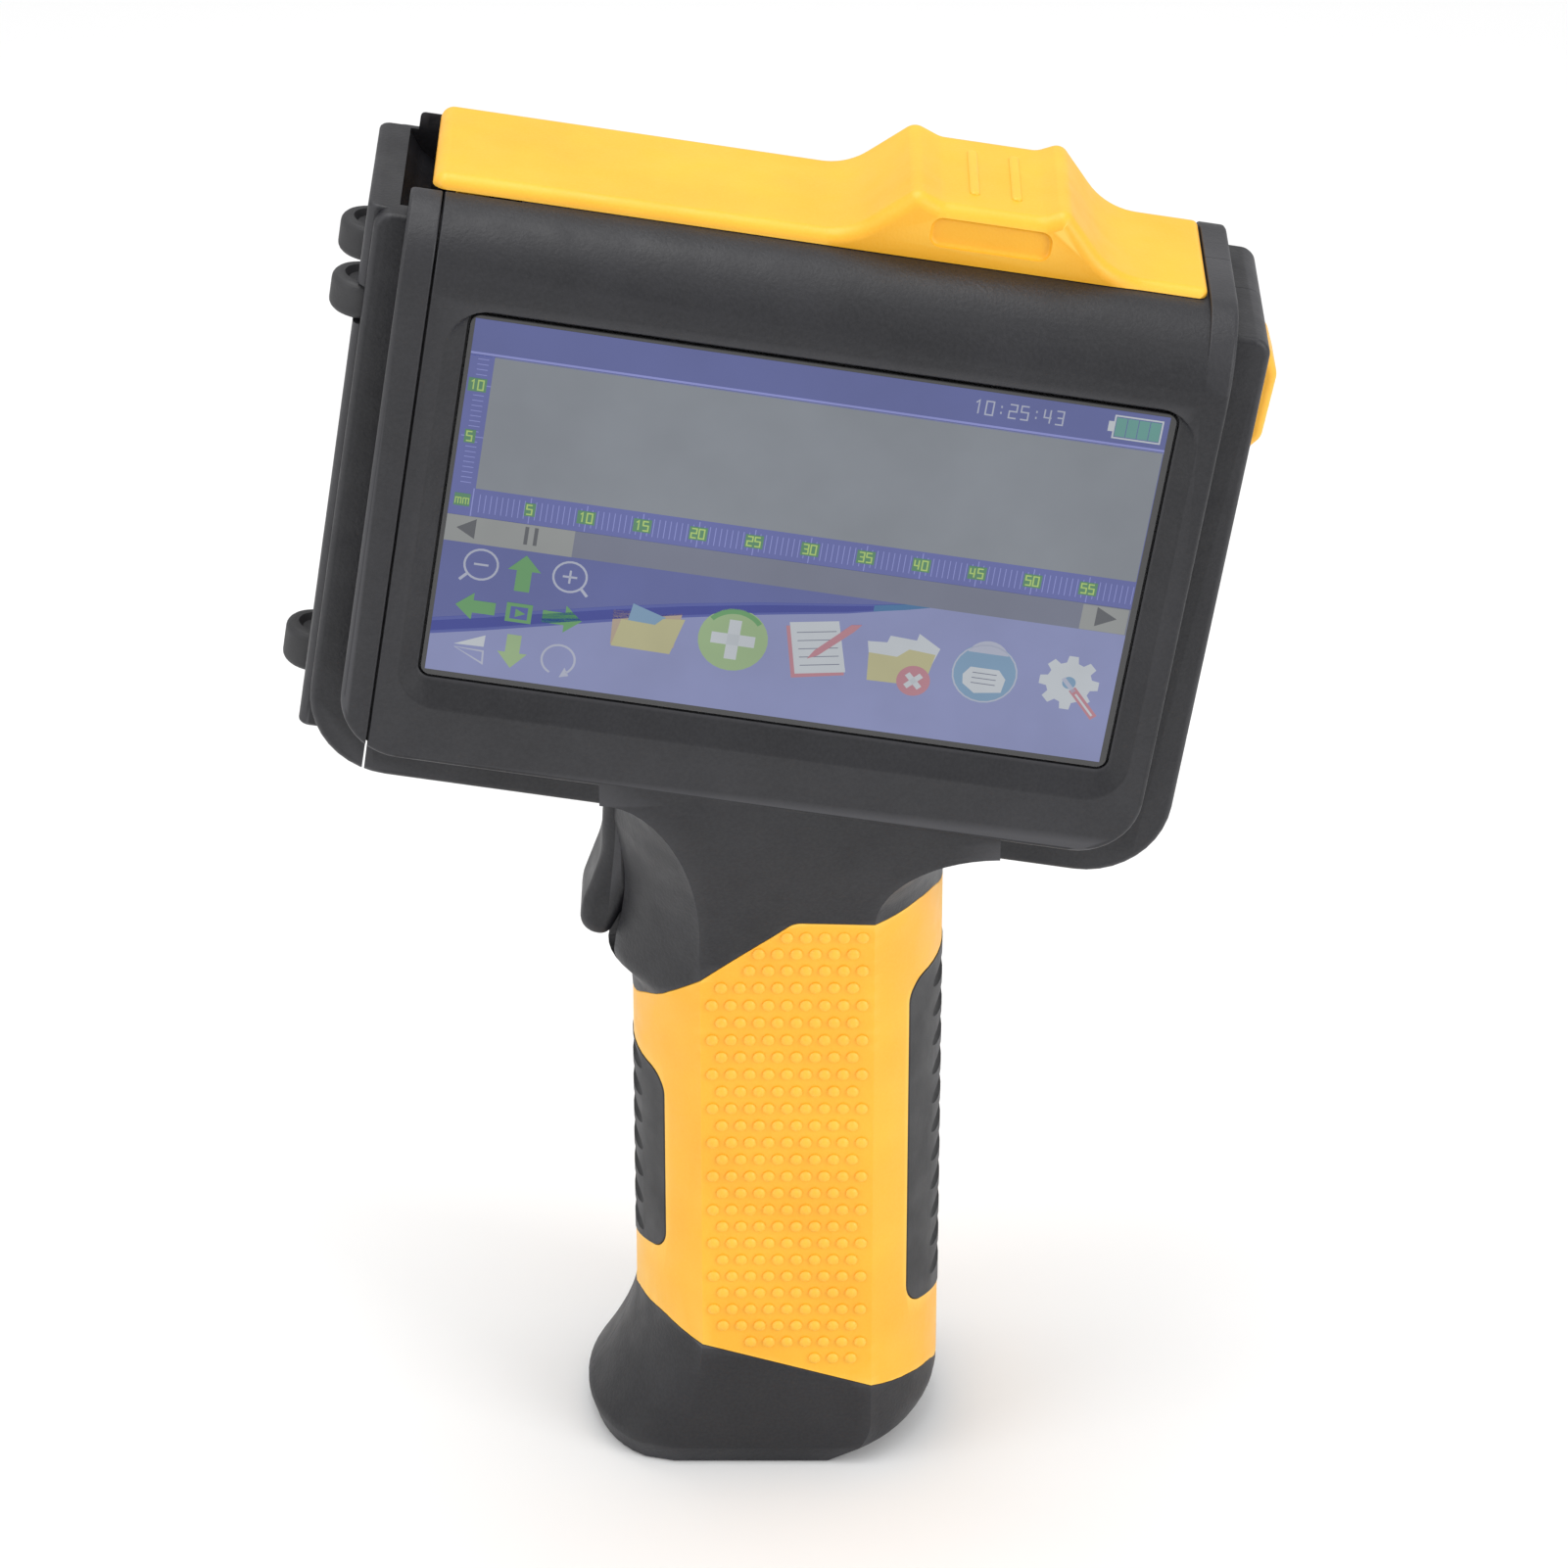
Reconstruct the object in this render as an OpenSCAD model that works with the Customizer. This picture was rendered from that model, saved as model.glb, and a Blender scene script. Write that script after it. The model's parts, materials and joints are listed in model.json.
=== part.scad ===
// Hand-held date code inkjet printer: raked print head on a vertical pistol grip.
// Origin: centre of the flat base. +Z up the grip, screen faces -Y, print face at -X.

/* [Head] */
// Rake of the head about the depth axis, degrees
head_tilt = 9; // [5:1:12]
// Height of the screen centre above the base
head_z = 155.75; // [152:0.25:160]
// Sideways place of the screen centre over the grip
head_x = 0.85; // [-2:0.05:4]
// Depth from the parting plane to the front of the housing
front_depth = 24; // [23:0.5:27]
// Depth from the parting plane to the back of the housing
rear_depth = 20; // [18:0.5:23]
// Wall thickness of the casings
wall = 2.2; // [1.8:0.1:2.6]

/* [Screen] */
// Width of the cover glass
glass_w = 96.6; // [94:0.2:98]
// Height of the cover glass
glass_h = 55.4; // [53:0.2:57]
// Depth of the glass below the front face
glass_sink = 1.5; // [1:0.1:2.5]

/* [Grip] */
// Width of the grip across the hand
grip_w = 45.3; // [44:0.1:48]
// Depth of the grip from front to back
grip_d = 40; // [39:0.5:43]
// Width of the flat dotted panel
panel_w = 25; // [22:0.5:28]
// Thickness of the coloured grip shells
grip_skin = 1.6; // [1.4:0.1:1.8]
// Reach of the toe of the base from the grip centre
toe_reach = 30.2; // [28:0.1:32]

/* [Moving parts] */
// Radius of the guide rollers
roller_r = 4.6; // [4.2:0.1:4.8]
// Height of the two upper guide rollers
roller_h = 5.2; // [4.6:0.1:5.6]
// Height of the lower guide roller
encoder_roller_h = 6; // [5.4:0.1:6.4]
// Spacing of the two upper rollers
roller_pitch = 19; // [18:0.5:20]
// Radius of every roller pin
pin_r = 0.75; // [0.7:0.05:0.8]
// Running clearance between a pin and its bore, on radius
run_gap = 0.05; // [0.02:0.01:0.08]
// Travel of the rear push button
button_travel = 0.8; // [0.6:0.1:1]

/* [Hidden] */

black = [0.18, 0.18, 0.20];
yellow = [1.00, 0.68, 0.16];
gap = 0.3;
$fn = 48;

// Head outline, in the head's own raked frame
core_x0 = -62.7;
core_x1 = 59.9;
core_z0 = -47.9;
plate_z0 = -43;
core_z1 = 37.5;
core_front = 17;
core_rear = 15;
bulge_x0 = -58.4;
bulge_x1 = 54.6;
bulge_z0 = -41;
top_z = 40.4;
nose_x = -63.8;
joint_x = -53.9;
front_r = 10.4;
rear_r = 9;

// Screen
glass_x = 0.2;
glass_y = -front_depth + glass_sink;
glass_z = -0.3;

// Grip section: two arcs cut by the front and back panels
half_w = grip_w / 2;
half_d = grip_d / 2;
half_p = panel_w / 2;
arc_c = (half_w * half_w - half_p * half_p - half_d * half_d) / (2 * (half_w - half_p));
arc_r = half_w - arc_c;
neck_z = 91;

// Rollers
roller_x = -62.8;
upper_z = 22.5;
lower_z = -37;

// Lid hinge
hinge_x = -50;
hinge_z = 37.6;
lid_x0 = -55.6;
lid_x1 = 50.5;
lid_half = 13;
lid_top = 42.4;
hump_top = 48.7;

heel_r = 7.2;
trough_half = lid_half + gap;
hinge_pin_r = 1;

// Trigger pivot, in the part's frame
pivot_x = -17.5;
pivot_z = 101.5;

// Power button, in the head's frame
button_z = 22;

function arc(c, r, a0, a1, n = 8) =
  [for (i = [0:n]) let (a = a0 + (a1 - a0) * i / n) c + r * [cos(a), sin(a)]];
function ellipse_arc(c, rx, ry, a0, a1, n = 8) =
  [for (i = [0:n]) let (a = a0 + (a1 - a0) * i / n) c + [rx * cos(a), ry * sin(a)]];
function round_box(x0, y0, x1, y1, r_low, r_top) = concat(
  arc([x0 + r_low, y0 + r_low], r_low, 180, 270),
  arc([x1 - r_low, y0 + r_low], r_low, 270, 360),
  arc([x1 - r_top, y1 - r_top], r_top, 0, 90),
  arc([x0 + r_top, y1 - r_top], r_top, 90, 180));
function pad_outline(half, z_tip, z0, z1) = concat(
  [[0, z_tip]],
  arc([half - 3, z0 + 3], 3, 288, 360),
  arc([half - 3, z1 - 3], 3, 0, 90),
  arc([3 - half, z1 - 3], 3, 90, 180),
  arc([3 - half, z0 + 3], 3, 180, 252));
function head_point(x, z) =
  [head_x + x * cos(head_tilt) + z * sin(head_tilt), head_z - x * sin(head_tilt) + z * cos(head_tilt)];
function flank(y) = sqrt(arc_r * arc_r - y * y) + arc_c;

// ---- helpers -------------------------------------------------------------

module in_head() {
  translate([head_x, 0, head_z])
    rotate([0, head_tilt, 0])
      children();
}

// A flat X-Z outline, drawn from y0 to y1
module side_cut(y0, y1) {
  translate([0, y1, 0])
    rotate([90, 0, 0])
      linear_extrude(y1 - y0)
        children();
}

// A flat Y-Z outline, drawn from x0 to x1
module end_cut(x0, x1) {
  translate([x0, 0, 0])
    rotate([90, 0, 90])
      linear_extrude(x1 - x0)
        children();
}

module box(low, high) {
  translate(low)
    cube(high - low);
}

module front_half() {
  intersection() {
    children();
    box([-90, -60, -10], [90, 0, 230]);
  }
}

module rear_half() {
  intersection() {
    children();
    box([-90, 0, -10], [90, 60, 230]);
  }
}

// ---- casing shapes -------------------------------------------------------

// Deep part of the head housing; inset shrinks it for the hollow
module bulge(x0, x1, inset) {
  intersection() {
    end_cut(x0, x1)
      polygon(concat(
        [[-front_depth + inset, bulge_z0 + inset]],
        arc([-front_depth + front_r, top_z - front_r], front_r - inset, 180, 90),
        arc([rear_depth - rear_r, top_z - rear_r], rear_r - inset, 90, 0),
        [[rear_depth - inset, bulge_z0 + inset]]));
    side_cut(-front_depth, rear_depth)
      polygon(round_box(bulge_x0 + inset, bulge_z0 + inset, bulge_x1 - inset, top_z + 1, 9 - inset, 1));
  }
}

// Thinner slab that shows as the end plates and the lower rim
module core(x0, x1, inset) {
  intersection() {
    end_cut(x0, x1)
      polygon(round_box(-core_front + inset, core_z0 + inset, core_rear - inset, core_z1 - inset, 1.5, 3));
    side_cut(-core_front, core_rear)
      polygon(round_box(core_x0 + inset, core_z0 + inset, core_x1 - inset, core_z1 - inset, 12 - inset, 2));
  }
}

// Outline of the neck for a slice whose half width is w
module neck_outline(w, inset) {
  left = 26.3;
  right = 30;
  polygon(concat(
    [[-w, 60]],
    ellipse_arc([-left, neck_z + 1], left - w, 22 + inset, 0, 90),
    [[-left, 122], [right, 118]],
    ellipse_arc([right, neck_z], right - w, 12.5 + inset, 90, 180),
    [[w, 60]]));
}

// Neck built as slices, so its sides follow the round grip
module neck(inset) {
  for (y = [4, 8, 12, 16, half_d])
    side_cut(-y + inset, y - inset)
      neck_outline(flank(y - 2) - inset, inset);
  intersection() {
    side_cut(-front_depth + inset, 0)
      neck_outline(half_p - inset, inset);
    end_cut(-40, 40)
      polygon([[-half_d + inset, 60], [-half_d + inset, neck_z - 3], [-front_depth + 0.5 + inset, 114],
        [-front_depth + 0.5 + inset, 125], [0, 125], [0, 60]]);
  }
}

module grip_section(inset) {
  intersection() {
    translate([arc_c, 0])
      circle(arc_r - inset, $fn = 96);
    translate([-arc_c, 0])
      circle(arc_r - inset, $fn = 96);
    square([grip_w, grip_d - 2 * inset], center = true);
  }
}

// Zone of the coloured grip shells, seen from the front
module grip_zone(y0, y1) {
  side_cut(y0, y1)
    polygon([[-30, 20.2], [-22.9, 20.6], [-21.8, 23.1], [-18.6, 23.8], [-half_p, 21.9], [half_p, 14.5],
      [18.3, 12.7], [21.4, 11], [22.8, 8], [30, 7], [30, 91.4], [22.8, 91.8], [20.8, 94.2], [half_p, 94.3],
      [1, 94.6], [-2, 92.2], [-half_p, 84.4], [-17, 80.7], [-20.6, 76.9], [-22.8, 72], [-30, 71.5]]);
}

// Flared foot of the grip with its toe at -X
module base_solid(inset) {
  intersection() {
    translate([0, 0, inset])
      linear_extrude(30)
        polygon(concat(
          ellipse_arc([-17, 0], toe_reach - 17 - inset, half_d - inset, 90, 270, 16),
          ellipse_arc([8.6, 0], half_w - 8.6 - inset, half_d - inset, -90, 90, 16)));
    side_cut(-half_d, half_d)
      polygon(concat(
        [[9.5, inset]],
        arc([half_w - 8 - inset, 8 + inset], 8, 270, 360),
        [[half_w - inset, 24], [-half_w + inset, 24]],
        ellipse_arc([-half_w - 8 + inset, 22], 8, 17, 0, -80),
        [[-toe_reach + inset, 5], [-toe_reach + inset, 3 + inset], [-toe_reach + 2.2 + inset, inset]]));
  }
}

module handle_solid(inset) {
  translate([0, 0, 4])
    linear_extrude(100)
      grip_section(inset);
  base_solid(inset);
}

// Clearance for the lid's heel around its hinge
module heel_sweep() {
  translate([hinge_x, trough_half, hinge_z])
    rotate([90, 0, 0])
      cylinder(h = 2 * trough_half, r = heel_r);
  box([hinge_x - heel_r, -trough_half, hinge_z], [hinge_x, trough_half, 60]);
}

module lid_opening() {
  box([hinge_x, -11, 20], [38, 11, 60]);
}

// Solid block around the hinge, which closes the trough under the lid's heel
module hinge_block(x0, x1) {
  intersection() {
    bulge(x0, x1, 0);
    box([x0, -15.6, hinge_z - heel_r - 1.2], [x1, 15.6, 60]);
  }
}

module hinge_bore() {
  translate([hinge_x, 15.3, hinge_z])
    rotate([90, 0, 0])
      cylinder(h = 30.6, r = hinge_pin_r + 0.02, $fn = 32);
}

module screen_cut() {
  opening_x0 = glass_x - glass_w / 2 - 0.25;
  opening_x1 = glass_x + glass_w / 2 + 0.25;
  opening_z0 = glass_z - glass_h / 2 - 0.25;
  opening_z1 = glass_z + glass_h / 2 + 0.25;
  box([opening_x0, -30, opening_z0], [opening_x1, -15, opening_z1]);
  intersection() {
    end_cut(-50.2, 52.3)
      polygon([[-front_depth - 1, -32.6], [glass_y, opening_z0], [glass_y, opening_z1], [-front_depth - 1, 29]]);
    translate([0, 0, -40])
      linear_extrude(80)
        polygon([[-50.6, -front_depth - 1], [52.8, -front_depth - 1], [opening_x1, glass_y],
          [opening_x0, glass_y]]);
  }
}

// Casing screws: X, Z, the back face they enter by, and how far forward their post reaches
screw_places = [
  concat(head_point(-45, -43.6), [core_rear, 13]),
  concat(head_point(53, -40.4), [core_rear, 13]),
  concat(head_point(46, 35.2), [19, 13]),
  [8, 92, half_d, 18.5],
  [0, 5.8, half_d, 13]];
screw_r = 1.4;
screw_head_r = 2.4;
post_r = 3.4;
screw_sink = 4;

module posts() {
  for (p = screw_places)
    translate([p[0], p[2] - 0.5, p[1]])
      rotate([90, 0, 0])
        cylinder(h = p[2] - 0.5 + p[3], r = post_r, $fn = 32);
}

module screw_holes() {
  for (p = screw_places)
    translate([p[0], p[2] + 1, p[1]])
      rotate([90, 0, 0]) {
        cylinder(h = 1 + screw_sink, r = screw_head_r + 0.2, $fn = 32);
        cylinder(h = p[2] + 11, r = screw_r + 0.02, $fn = 32);
      }
}

// Window in the grip shells for a side pad
module pad_window(side, half, z_tip, z0, z1, grow) {
  intersection() {
    end_cut(side > 0 ? 10 : -30, side > 0 ? 30 : -10)
      polygon(pad_outline(half + grow, z_tip - grow, z0, z1 + grow));
    linear_extrude(110)
      grip_section(-1);
  }
}

module roller_pocket(y, z, h) {
  box([nose_x - 1, y - roller_r - 0.5, z - h / 2 - gap],
    [roller_x + roller_r + 0.5, y + roller_r + 0.5, z + h / 2 + gap]);
}

module roller_pin(y, z, h) {
  translate([roller_x, y, z - h / 2 - 2.3])
    cylinder(h = h + 4.6, r = pin_r, $fn = 32);
}

// ---- casing pieces -------------------------------------------------------

module casing_hollows() {
  in_head() {
    difference() {
      union() {
        bulge(joint_x - 5, bulge_x1 - wall, wall);
        core(joint_x - 5, core_x1 - wall, wall);
        lid_opening();
      }
      hinge_block(joint_x - 6, hinge_x + heel_r - 1);
    }
    heel_sweep();
  }
  intersection() {
    union() {
      neck(wall + 0.6);
      translate([0, 0, 10.4])
        linear_extrude(90)
          grip_section(grip_skin + 2);
      linear_extrude(24)
        intersection() {
          circle(17.4);
          square([60, 31], center = true);
        }
    }
    box([-30, -30, 2.6], [40, 30, 114]);
  }
}

module casing_outside() {
  in_head() {
    bulge(joint_x + gap / 2, bulge_x1, 0);
    core(joint_x + gap / 2, core_x1, 0);
    box([50.8, -11.5, 38], [53.8, 11.5, 41.3]);
  }
  neck(0);
  handle_solid(0);
}

module trigger_slot() {
  side_cut(-7, 7)
    polygon([[-40, 80.4], [-20, 80.4], [-10, 84], [-10, 106], [-24, 108], [-40, 108]]);
}

module button_hole() {
  in_head()
    box([50, -5.4, button_z - 8.4], [70, 5.4, button_z + 10.2]);
}

module socket_hole() {
  box([9, -5, 3.4], [30, 5, 7.2]);
}

module skin_recess() {
  difference() {
    linear_extrude(110)
      grip_section(-2);
    linear_extrude(110)
      grip_section(grip_skin);
  }
}

// Ears that hold the ends of the trigger's pin
module trigger_ears() {
  for (side = [-1, 1])
    side_cut(side * 8.6 - 1.2, side * 8.6 + 1.2)
      polygon([[-22, 97], [-14, 98], [-14, 107], [-24, 107]]);
}

module casing() {
  difference() {
    union() {
      difference() {
        casing_outside();
        casing_hollows();
      }
      intersection() {
        union() {
          posts();
          trigger_ears();
        }
        casing_outside();
      }
    }
    intersection() {
      skin_recess();
      grip_zone(-40, 40);
    }
    trigger_slot();
    button_hole();
    socket_hole();
    screw_holes();
    in_head()
      hinge_bore();
    translate([pivot_x, 9, pivot_z])
      rotate([90, 0, 0])
        cylinder(h = 18, r = 1.02, $fn = 32);
  }
}

module front_shell() {
  color(black)
    front_half()
      difference() {
        casing();
        in_head()
          screen_cut();
      }
}

module rear_shell() {
  color(black)
    rear_half()
      casing();
}

module nose_cover() {
  color(black)
    in_head()
      difference() {
        union() {
          bulge(bulge_x0, joint_x - gap / 2, 0);
          core(core_x0, joint_x - gap / 2, 0);
          translate([0, 0, plate_z0])
            linear_extrude(core_z1 - plate_z0)
              polygon(round_box(nose_x, -14.6, -58, 14.6, 2, 2));
        }
        intersection() {
          union() {
            bulge(bulge_x0 + wall, joint_x + 1, wall);
            core(nose_x + 2, joint_x + 1, wall);
            box([nose_x + 2, -12.4, plate_z0 + 2], [joint_x + 1, 12.4, 30]);
          }
          box([-70, -30, -60], [-50, 30, hinge_z - heel_r - 1.2]);
        }
        heel_sweep();
        box([-70, -8.2, -25], [-58, 8.2, 13]);
        for (s = [-1, 1])
          roller_pocket(s * roller_pitch / 2, upper_z, roller_h);
        roller_pocket(0, lower_z, encoder_roller_h);
        for (s = [-1, 1])
          roller_pin(s * roller_pitch / 2, upper_z, roller_h);
        roller_pin(0, lower_z, encoder_roller_h);
      }
}

// ---- lid -----------------------------------------------------------------

function lid_crest() = concat(
  [[lid_x0, top_z + 0.1]],
  arc([lid_x0 + 1.8, lid_top - 1.8], 1.8, 180, 90),
  [[-4, lid_top], [0.3, lid_top + 0.8], [3.7, 45.1], [6.8, 48]],
  arc([9.4, 47.6], 1.7, 130, 50),
  [[13, hump_top - 0.3], [26.4, hump_top - 0.3]],
  arc([29.2, 47.4], 1.7, 130, 40),
  [[33, 46.2], [36.9, 43.6], [40.8, 42.1], [44, 41.7]],
  arc([lid_x1 - 1, top_z + 0.1], 1, 90, 0));

module lid() {
  color(yellow)
    in_head() {
      difference() {
        side_cut(-lid_half, lid_half)
          polygon(lid_crest());
        side_cut(-lid_half + 1.8, lid_half - 1.8)
          polygon([[hinge_x + 5, top_z - 1], [hinge_x + 5, lid_top - 1.4], [-3, lid_top - 1.4], [7.5, 46.6],
            [30.5, 46.6], [34.5, 43], [39.5, top_z + 0.7], [39.5, top_z - 1]]);
      }
      for (y = [-8.5, 8.5])
        difference() {
          union() {
            translate([hinge_x, y + 1.5, hinge_z])
              rotate([90, 0, 0])
                cylinder(h = 3, r = 2.3);
            box([hinge_x - 2.2, y - 1.5, hinge_z], [hinge_x + 2.2, y + 1.5, top_z + 0.9]);
          }
          translate([hinge_x, y + 2, hinge_z])
            rotate([90, 0, 0])
              cylinder(h = 4, r = hinge_pin_r + run_gap, $fn = 32);
        }
      for (x = [17.2, 23])
        box([x - 0.6, -7.5, hump_top - 1], [x + 0.6, 7.5, hump_top + 0.3]);
    }
}

module lid_hinge_pin() {
  color("silver")
    in_head()
      translate([hinge_x, 15, hinge_z])
        rotate([90, 0, 0])
          cylinder(h = 30, r = hinge_pin_r, $fn = 32);
}

module lid_catch() {
  color("silver")
    in_head() {
      box([38.2, -4, 37.2], [41, 4, 38.1]);
      box([38.2, -4, 33.5], [38.8, 4, 37.2]);
    }
}

// ---- screen and electronics ----------------------------------------------

module cover_glass() {
  color([0.25, 0.28, 0.42])
    in_head()
      side_cut(glass_y, glass_y + 1.1)
        polygon(round_box(glass_x - glass_w / 2, glass_z - glass_h / 2, glass_x + glass_w / 2,
          glass_z + glass_h / 2, 1.5, 1.5));
}

module screen_gasket() {
  color([0.1, 0.1, 0.1])
    in_head()
      difference() {
        box([-51, -21.4, -31], [52, -20.9, 30.5]);
        box([-47.8, -22, -27.4], [48.2, -20, 26.9]);
      }
}

module lcd_module() {
  color("gray")
    in_head()
      box([-51, -20.9, -32], [51.5, -18.1, 31]);
}

module main_board() {
  color([0.1, 0.4, 0.2])
    in_head()
      difference() {
        box([-50.5, -17.4, -34], [51, -15.8, 31]);
        for (x = [-46, 47], z = [-30, 27])
          translate([x, -15, z])
            rotate([90, 0, 0])
              cylinder(h = 4, r = 1.3, $fn = 24);
      }
}

module board_screws() {
  color("silver")
    in_head()
      for (x = [-46, 47], z = [-30, 27])
        translate([x, -15.1, z])
          rotate([90, 0, 0]) {
            cylinder(h = 3, r = 1.1, $fn = 24);
            cylinder(h = 0.7, r = 2.1, $fn = 24);
          }
}

module board_chips() {
  color([0.15, 0.15, 0.16])
    in_head()
      for (c = [[-20, 0, 14, 14], [6, 4, 10, 8], [24, -16, 7, 5], [34, 10, 12, 9], [-36, -18, 8, 6]])
        box([c[0], -15.8, c[1]], [c[0] + c[2], -14.4, c[1] + c[3]]);
}

module battery_lead_socket() {
  color("ivory")
    in_head()
      box([14, -15.8, -33], [22, -13.6, -28]);
}

module buzzer() {
  color([0.12, 0.12, 0.13])
    in_head()
      translate([44, -10, 16])
        rotate([90, 0, 0])
          cylinder(h = 4.2, r = 4.5);
}

// ---- print cartridge -----------------------------------------------------

module cartridge_holder() {
  color([0.3, 0.3, 0.32])
    in_head()
      difference() {
        box([-51, -13.4, -39.6], [11.6, 12.6, 22]);
        box([-60, -12.2, -38.6], [10, 11.4, 60]);
        box([-52, -6, -42], [2, 6, -30]);
      }
}

module ink_cartridge() {
  color([0.1, 0.1, 0.11])
    in_head() {
      box([-50.4, -11.7, -38.3], [8.4, 10.9, 27]);
      box([-61.6, -7.4, -24], [-50.4, 7.4, 12]);
    }
}

module nozzle_plate() {
  color("gold")
    in_head()
      box([-62.1, -5, -21], [-61.6, 5, 9]);
}

module contact_board() {
  color([0.1, 0.4, 0.2])
    in_head()
      box([8.6, -9, -30], [9.8, 9, -6]);
}

module holder_screws() {
  color("silver")
    in_head()
      for (z = [-30, 12])
        translate([11.6, 0, z])
          rotate([0, 90, 0])
            cylinder(h = 1.6, r = 2.2, $fn = 24);
}

// ---- guide rollers -------------------------------------------------------

module roller(y, z, h) {
  edge = 1.1;
  color([0.12, 0.12, 0.13])
    in_head()
      translate([roller_x, y, z - h / 2])
        rotate_extrude($fn = 64)
          polygon(concat(
            [[pin_r + run_gap, 0]],
            arc([roller_r - edge, edge], edge, -90, 0, 5),
            arc([roller_r - edge, h - edge], edge, 0, 90, 5),
            [[2.9, h], [2.2, h - 0.8], [pin_r + run_gap, h - 0.8]]));
}

module upper_roller_front() {
  roller(-roller_pitch / 2, upper_z, roller_h);
}

module upper_roller_rear() {
  roller(roller_pitch / 2, upper_z, roller_h);
}

module lower_roller() {
  roller(0, lower_z, encoder_roller_h);
}

module roller_pins() {
  color("silver")
    in_head() {
      for (s = [-1, 1])
        roller_pin(s * roller_pitch / 2, upper_z, roller_h);
      roller_pin(0, lower_z, encoder_roller_h);
    }
}

module encoder_board() {
  color([0.1, 0.4, 0.2])
    in_head()
      box([-57.4, -5, -37.6], [-56.4, 5, -26]);
}

// ---- grip ----------------------------------------------------------------

module grip_skin_solid() {
  difference() {
    intersection() {
      linear_extrude(110)
        grip_section(0);
      grip_zone(-40, 40);
    }
    linear_extrude(110)
      grip_section(grip_skin - 0.05);
    pad_window(-1, 14.5, 30.4, 35.2, 65.2, 0.15);
    pad_window(1, 14.8, 21, 25.6, 81, 0.15);
    trigger_slot();
  }
}

module grip_front() {
  color(yellow)
    front_half()
      translate([0, -0.1, 0])
        grip_skin_solid();
}

module grip_rear() {
  color(yellow)
    rear_half()
      grip_skin_solid();
}

module pad(side, half, z_tip, z0, z1) {
  intersection() {
    pad_window(side, half, z_tip, z0, z1, 0);
    difference() {
      linear_extrude(110)
        grip_section(-0.2);
      linear_extrude(110)
        grip_section(grip_skin);
    }
  }
}

module finger_pad() {
  color([0.2, 0.2, 0.22])
    pad(-1, 14.5, 30.4, 35.2, 65.2);
}

module palm_pad() {
  color([0.2, 0.2, 0.22])
    pad(1, 14.8, 21, 25.6, 81);
}

// ---- trigger -------------------------------------------------------------

module trigger() {
  color([0.14, 0.14, 0.15])
    difference() {
      union() {
        side_cut(-6.5, 6.5)
          polygon(concat(
            [[-22, 107.4], [-26.1, 107.4], [-26.5, 101], [-27.1, 97], [-28.5, 93], [-30.1, 89.4]],
            arc([-27.7, 86.3], 2.8, 170, 280),
            [[-24.7, 86], [-22, 92]]));
        side_cut(-3, 3)
          polygon([[-24, 103], [-15, 104], [-15, 99], [-19, 94], [-23, 90]]);
      }
      translate([pivot_x, 4, pivot_z])
        rotate([90, 0, 0])
          cylinder(h = 8, r = 1 + run_gap, $fn = 32);
    }
}

module trigger_pin() {
  color("silver")
    translate([pivot_x, 7, pivot_z])
      rotate([90, 0, 0])
        cylinder(h = 14, r = 1, $fn = 32);
}

// Coil round the trigger's pin with one leg up against the ear
module trigger_spring() {
  color("silver")
    translate([pivot_x, 6.2, pivot_z])
      rotate([90, 0, 0])
        difference() {
          union() {
            cylinder(h = 1.8, r = 1.9);
            box([-0.3, 1.3, 0.6], [0.3, 4.4, 1.2]);
          }
          translate([0, 0, -1])
            cylinder(h = 6, r = 1.35);
        }
}

module trigger_switch() {
  color([0.1, 0.1, 0.1])
    box([-19.2, -3.2, 83], [-13, 3.2, 92]);
}

// ---- power button --------------------------------------------------------

module power_button() {
  color(yellow)
    in_head() {
      intersection() {
        box([58, -5, button_z - 8], [63.4, 5, button_z + 9.8]);
        side_cut(-6, 6)
          polygon([[57, button_z - 8], [60.4, button_z - 8], [63, button_z - 5], [63.4, button_z + 5],
            [62.2, button_z + 8.8], [60.6, button_z + 9.8], [57, button_z + 9.8]]);
      }
      box([55.6, -6.2, button_z - 9], [57.2, 6.2, button_z + 11]);
      box([57, -4, button_z - 7], [58.2, 4, button_z + 7]);
    }
}

module button_switch() {
  color([0.1, 0.1, 0.1])
    in_head()
      box([51.4, -3, button_z - 3], [55.6 - button_travel - 0.1, 3, button_z + 3]);
}

module button_board() {
  color([0.1, 0.4, 0.2])
    in_head()
      box([50.2, -6, button_z - 8], [51.4, 6, button_z + 4]);
}

// ---- battery and charging ------------------------------------------------

cell_r = 9.1;
cell_h = 65;
cell_z = 14;

module battery_cell(side) {
  color([0.2, 0.45, 0.75])
    translate([side * (cell_r + 0.15), 0, cell_z]) {
      cylinder(h = cell_h - 1.2, r = cell_r, $fn = 64);
      cylinder(h = cell_h, r = 2.8, $fn = 32);
    }
}

module battery_cell_left() {
  battery_cell(-1);
}

module battery_cell_right() {
  battery_cell(1);
}

module battery_cradle() {
  color([0.15, 0.15, 0.16])
    translate([0, 0, cell_z - 3.5])
      linear_extrude(2.6)
        intersection() {
          circle(17);
          square([60, 20], center = true);
        }
}

module contact_strips() {
  color("silver") {
    box([-14, -4, cell_z - 0.8], [14, 4, cell_z - 0.2]);
    box([-14, -4, cell_z + cell_h + 0.1], [14, 4, cell_z + cell_h + 0.6]);
  }
}

module charge_socket() {
  color("silver")
    difference() {
      box([12, -4.5, 3.7], [21.4, 4.5, 6.9]);
      box([14, -4, 4.2], [22, 4, 6.4]);
    }
}

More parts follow.
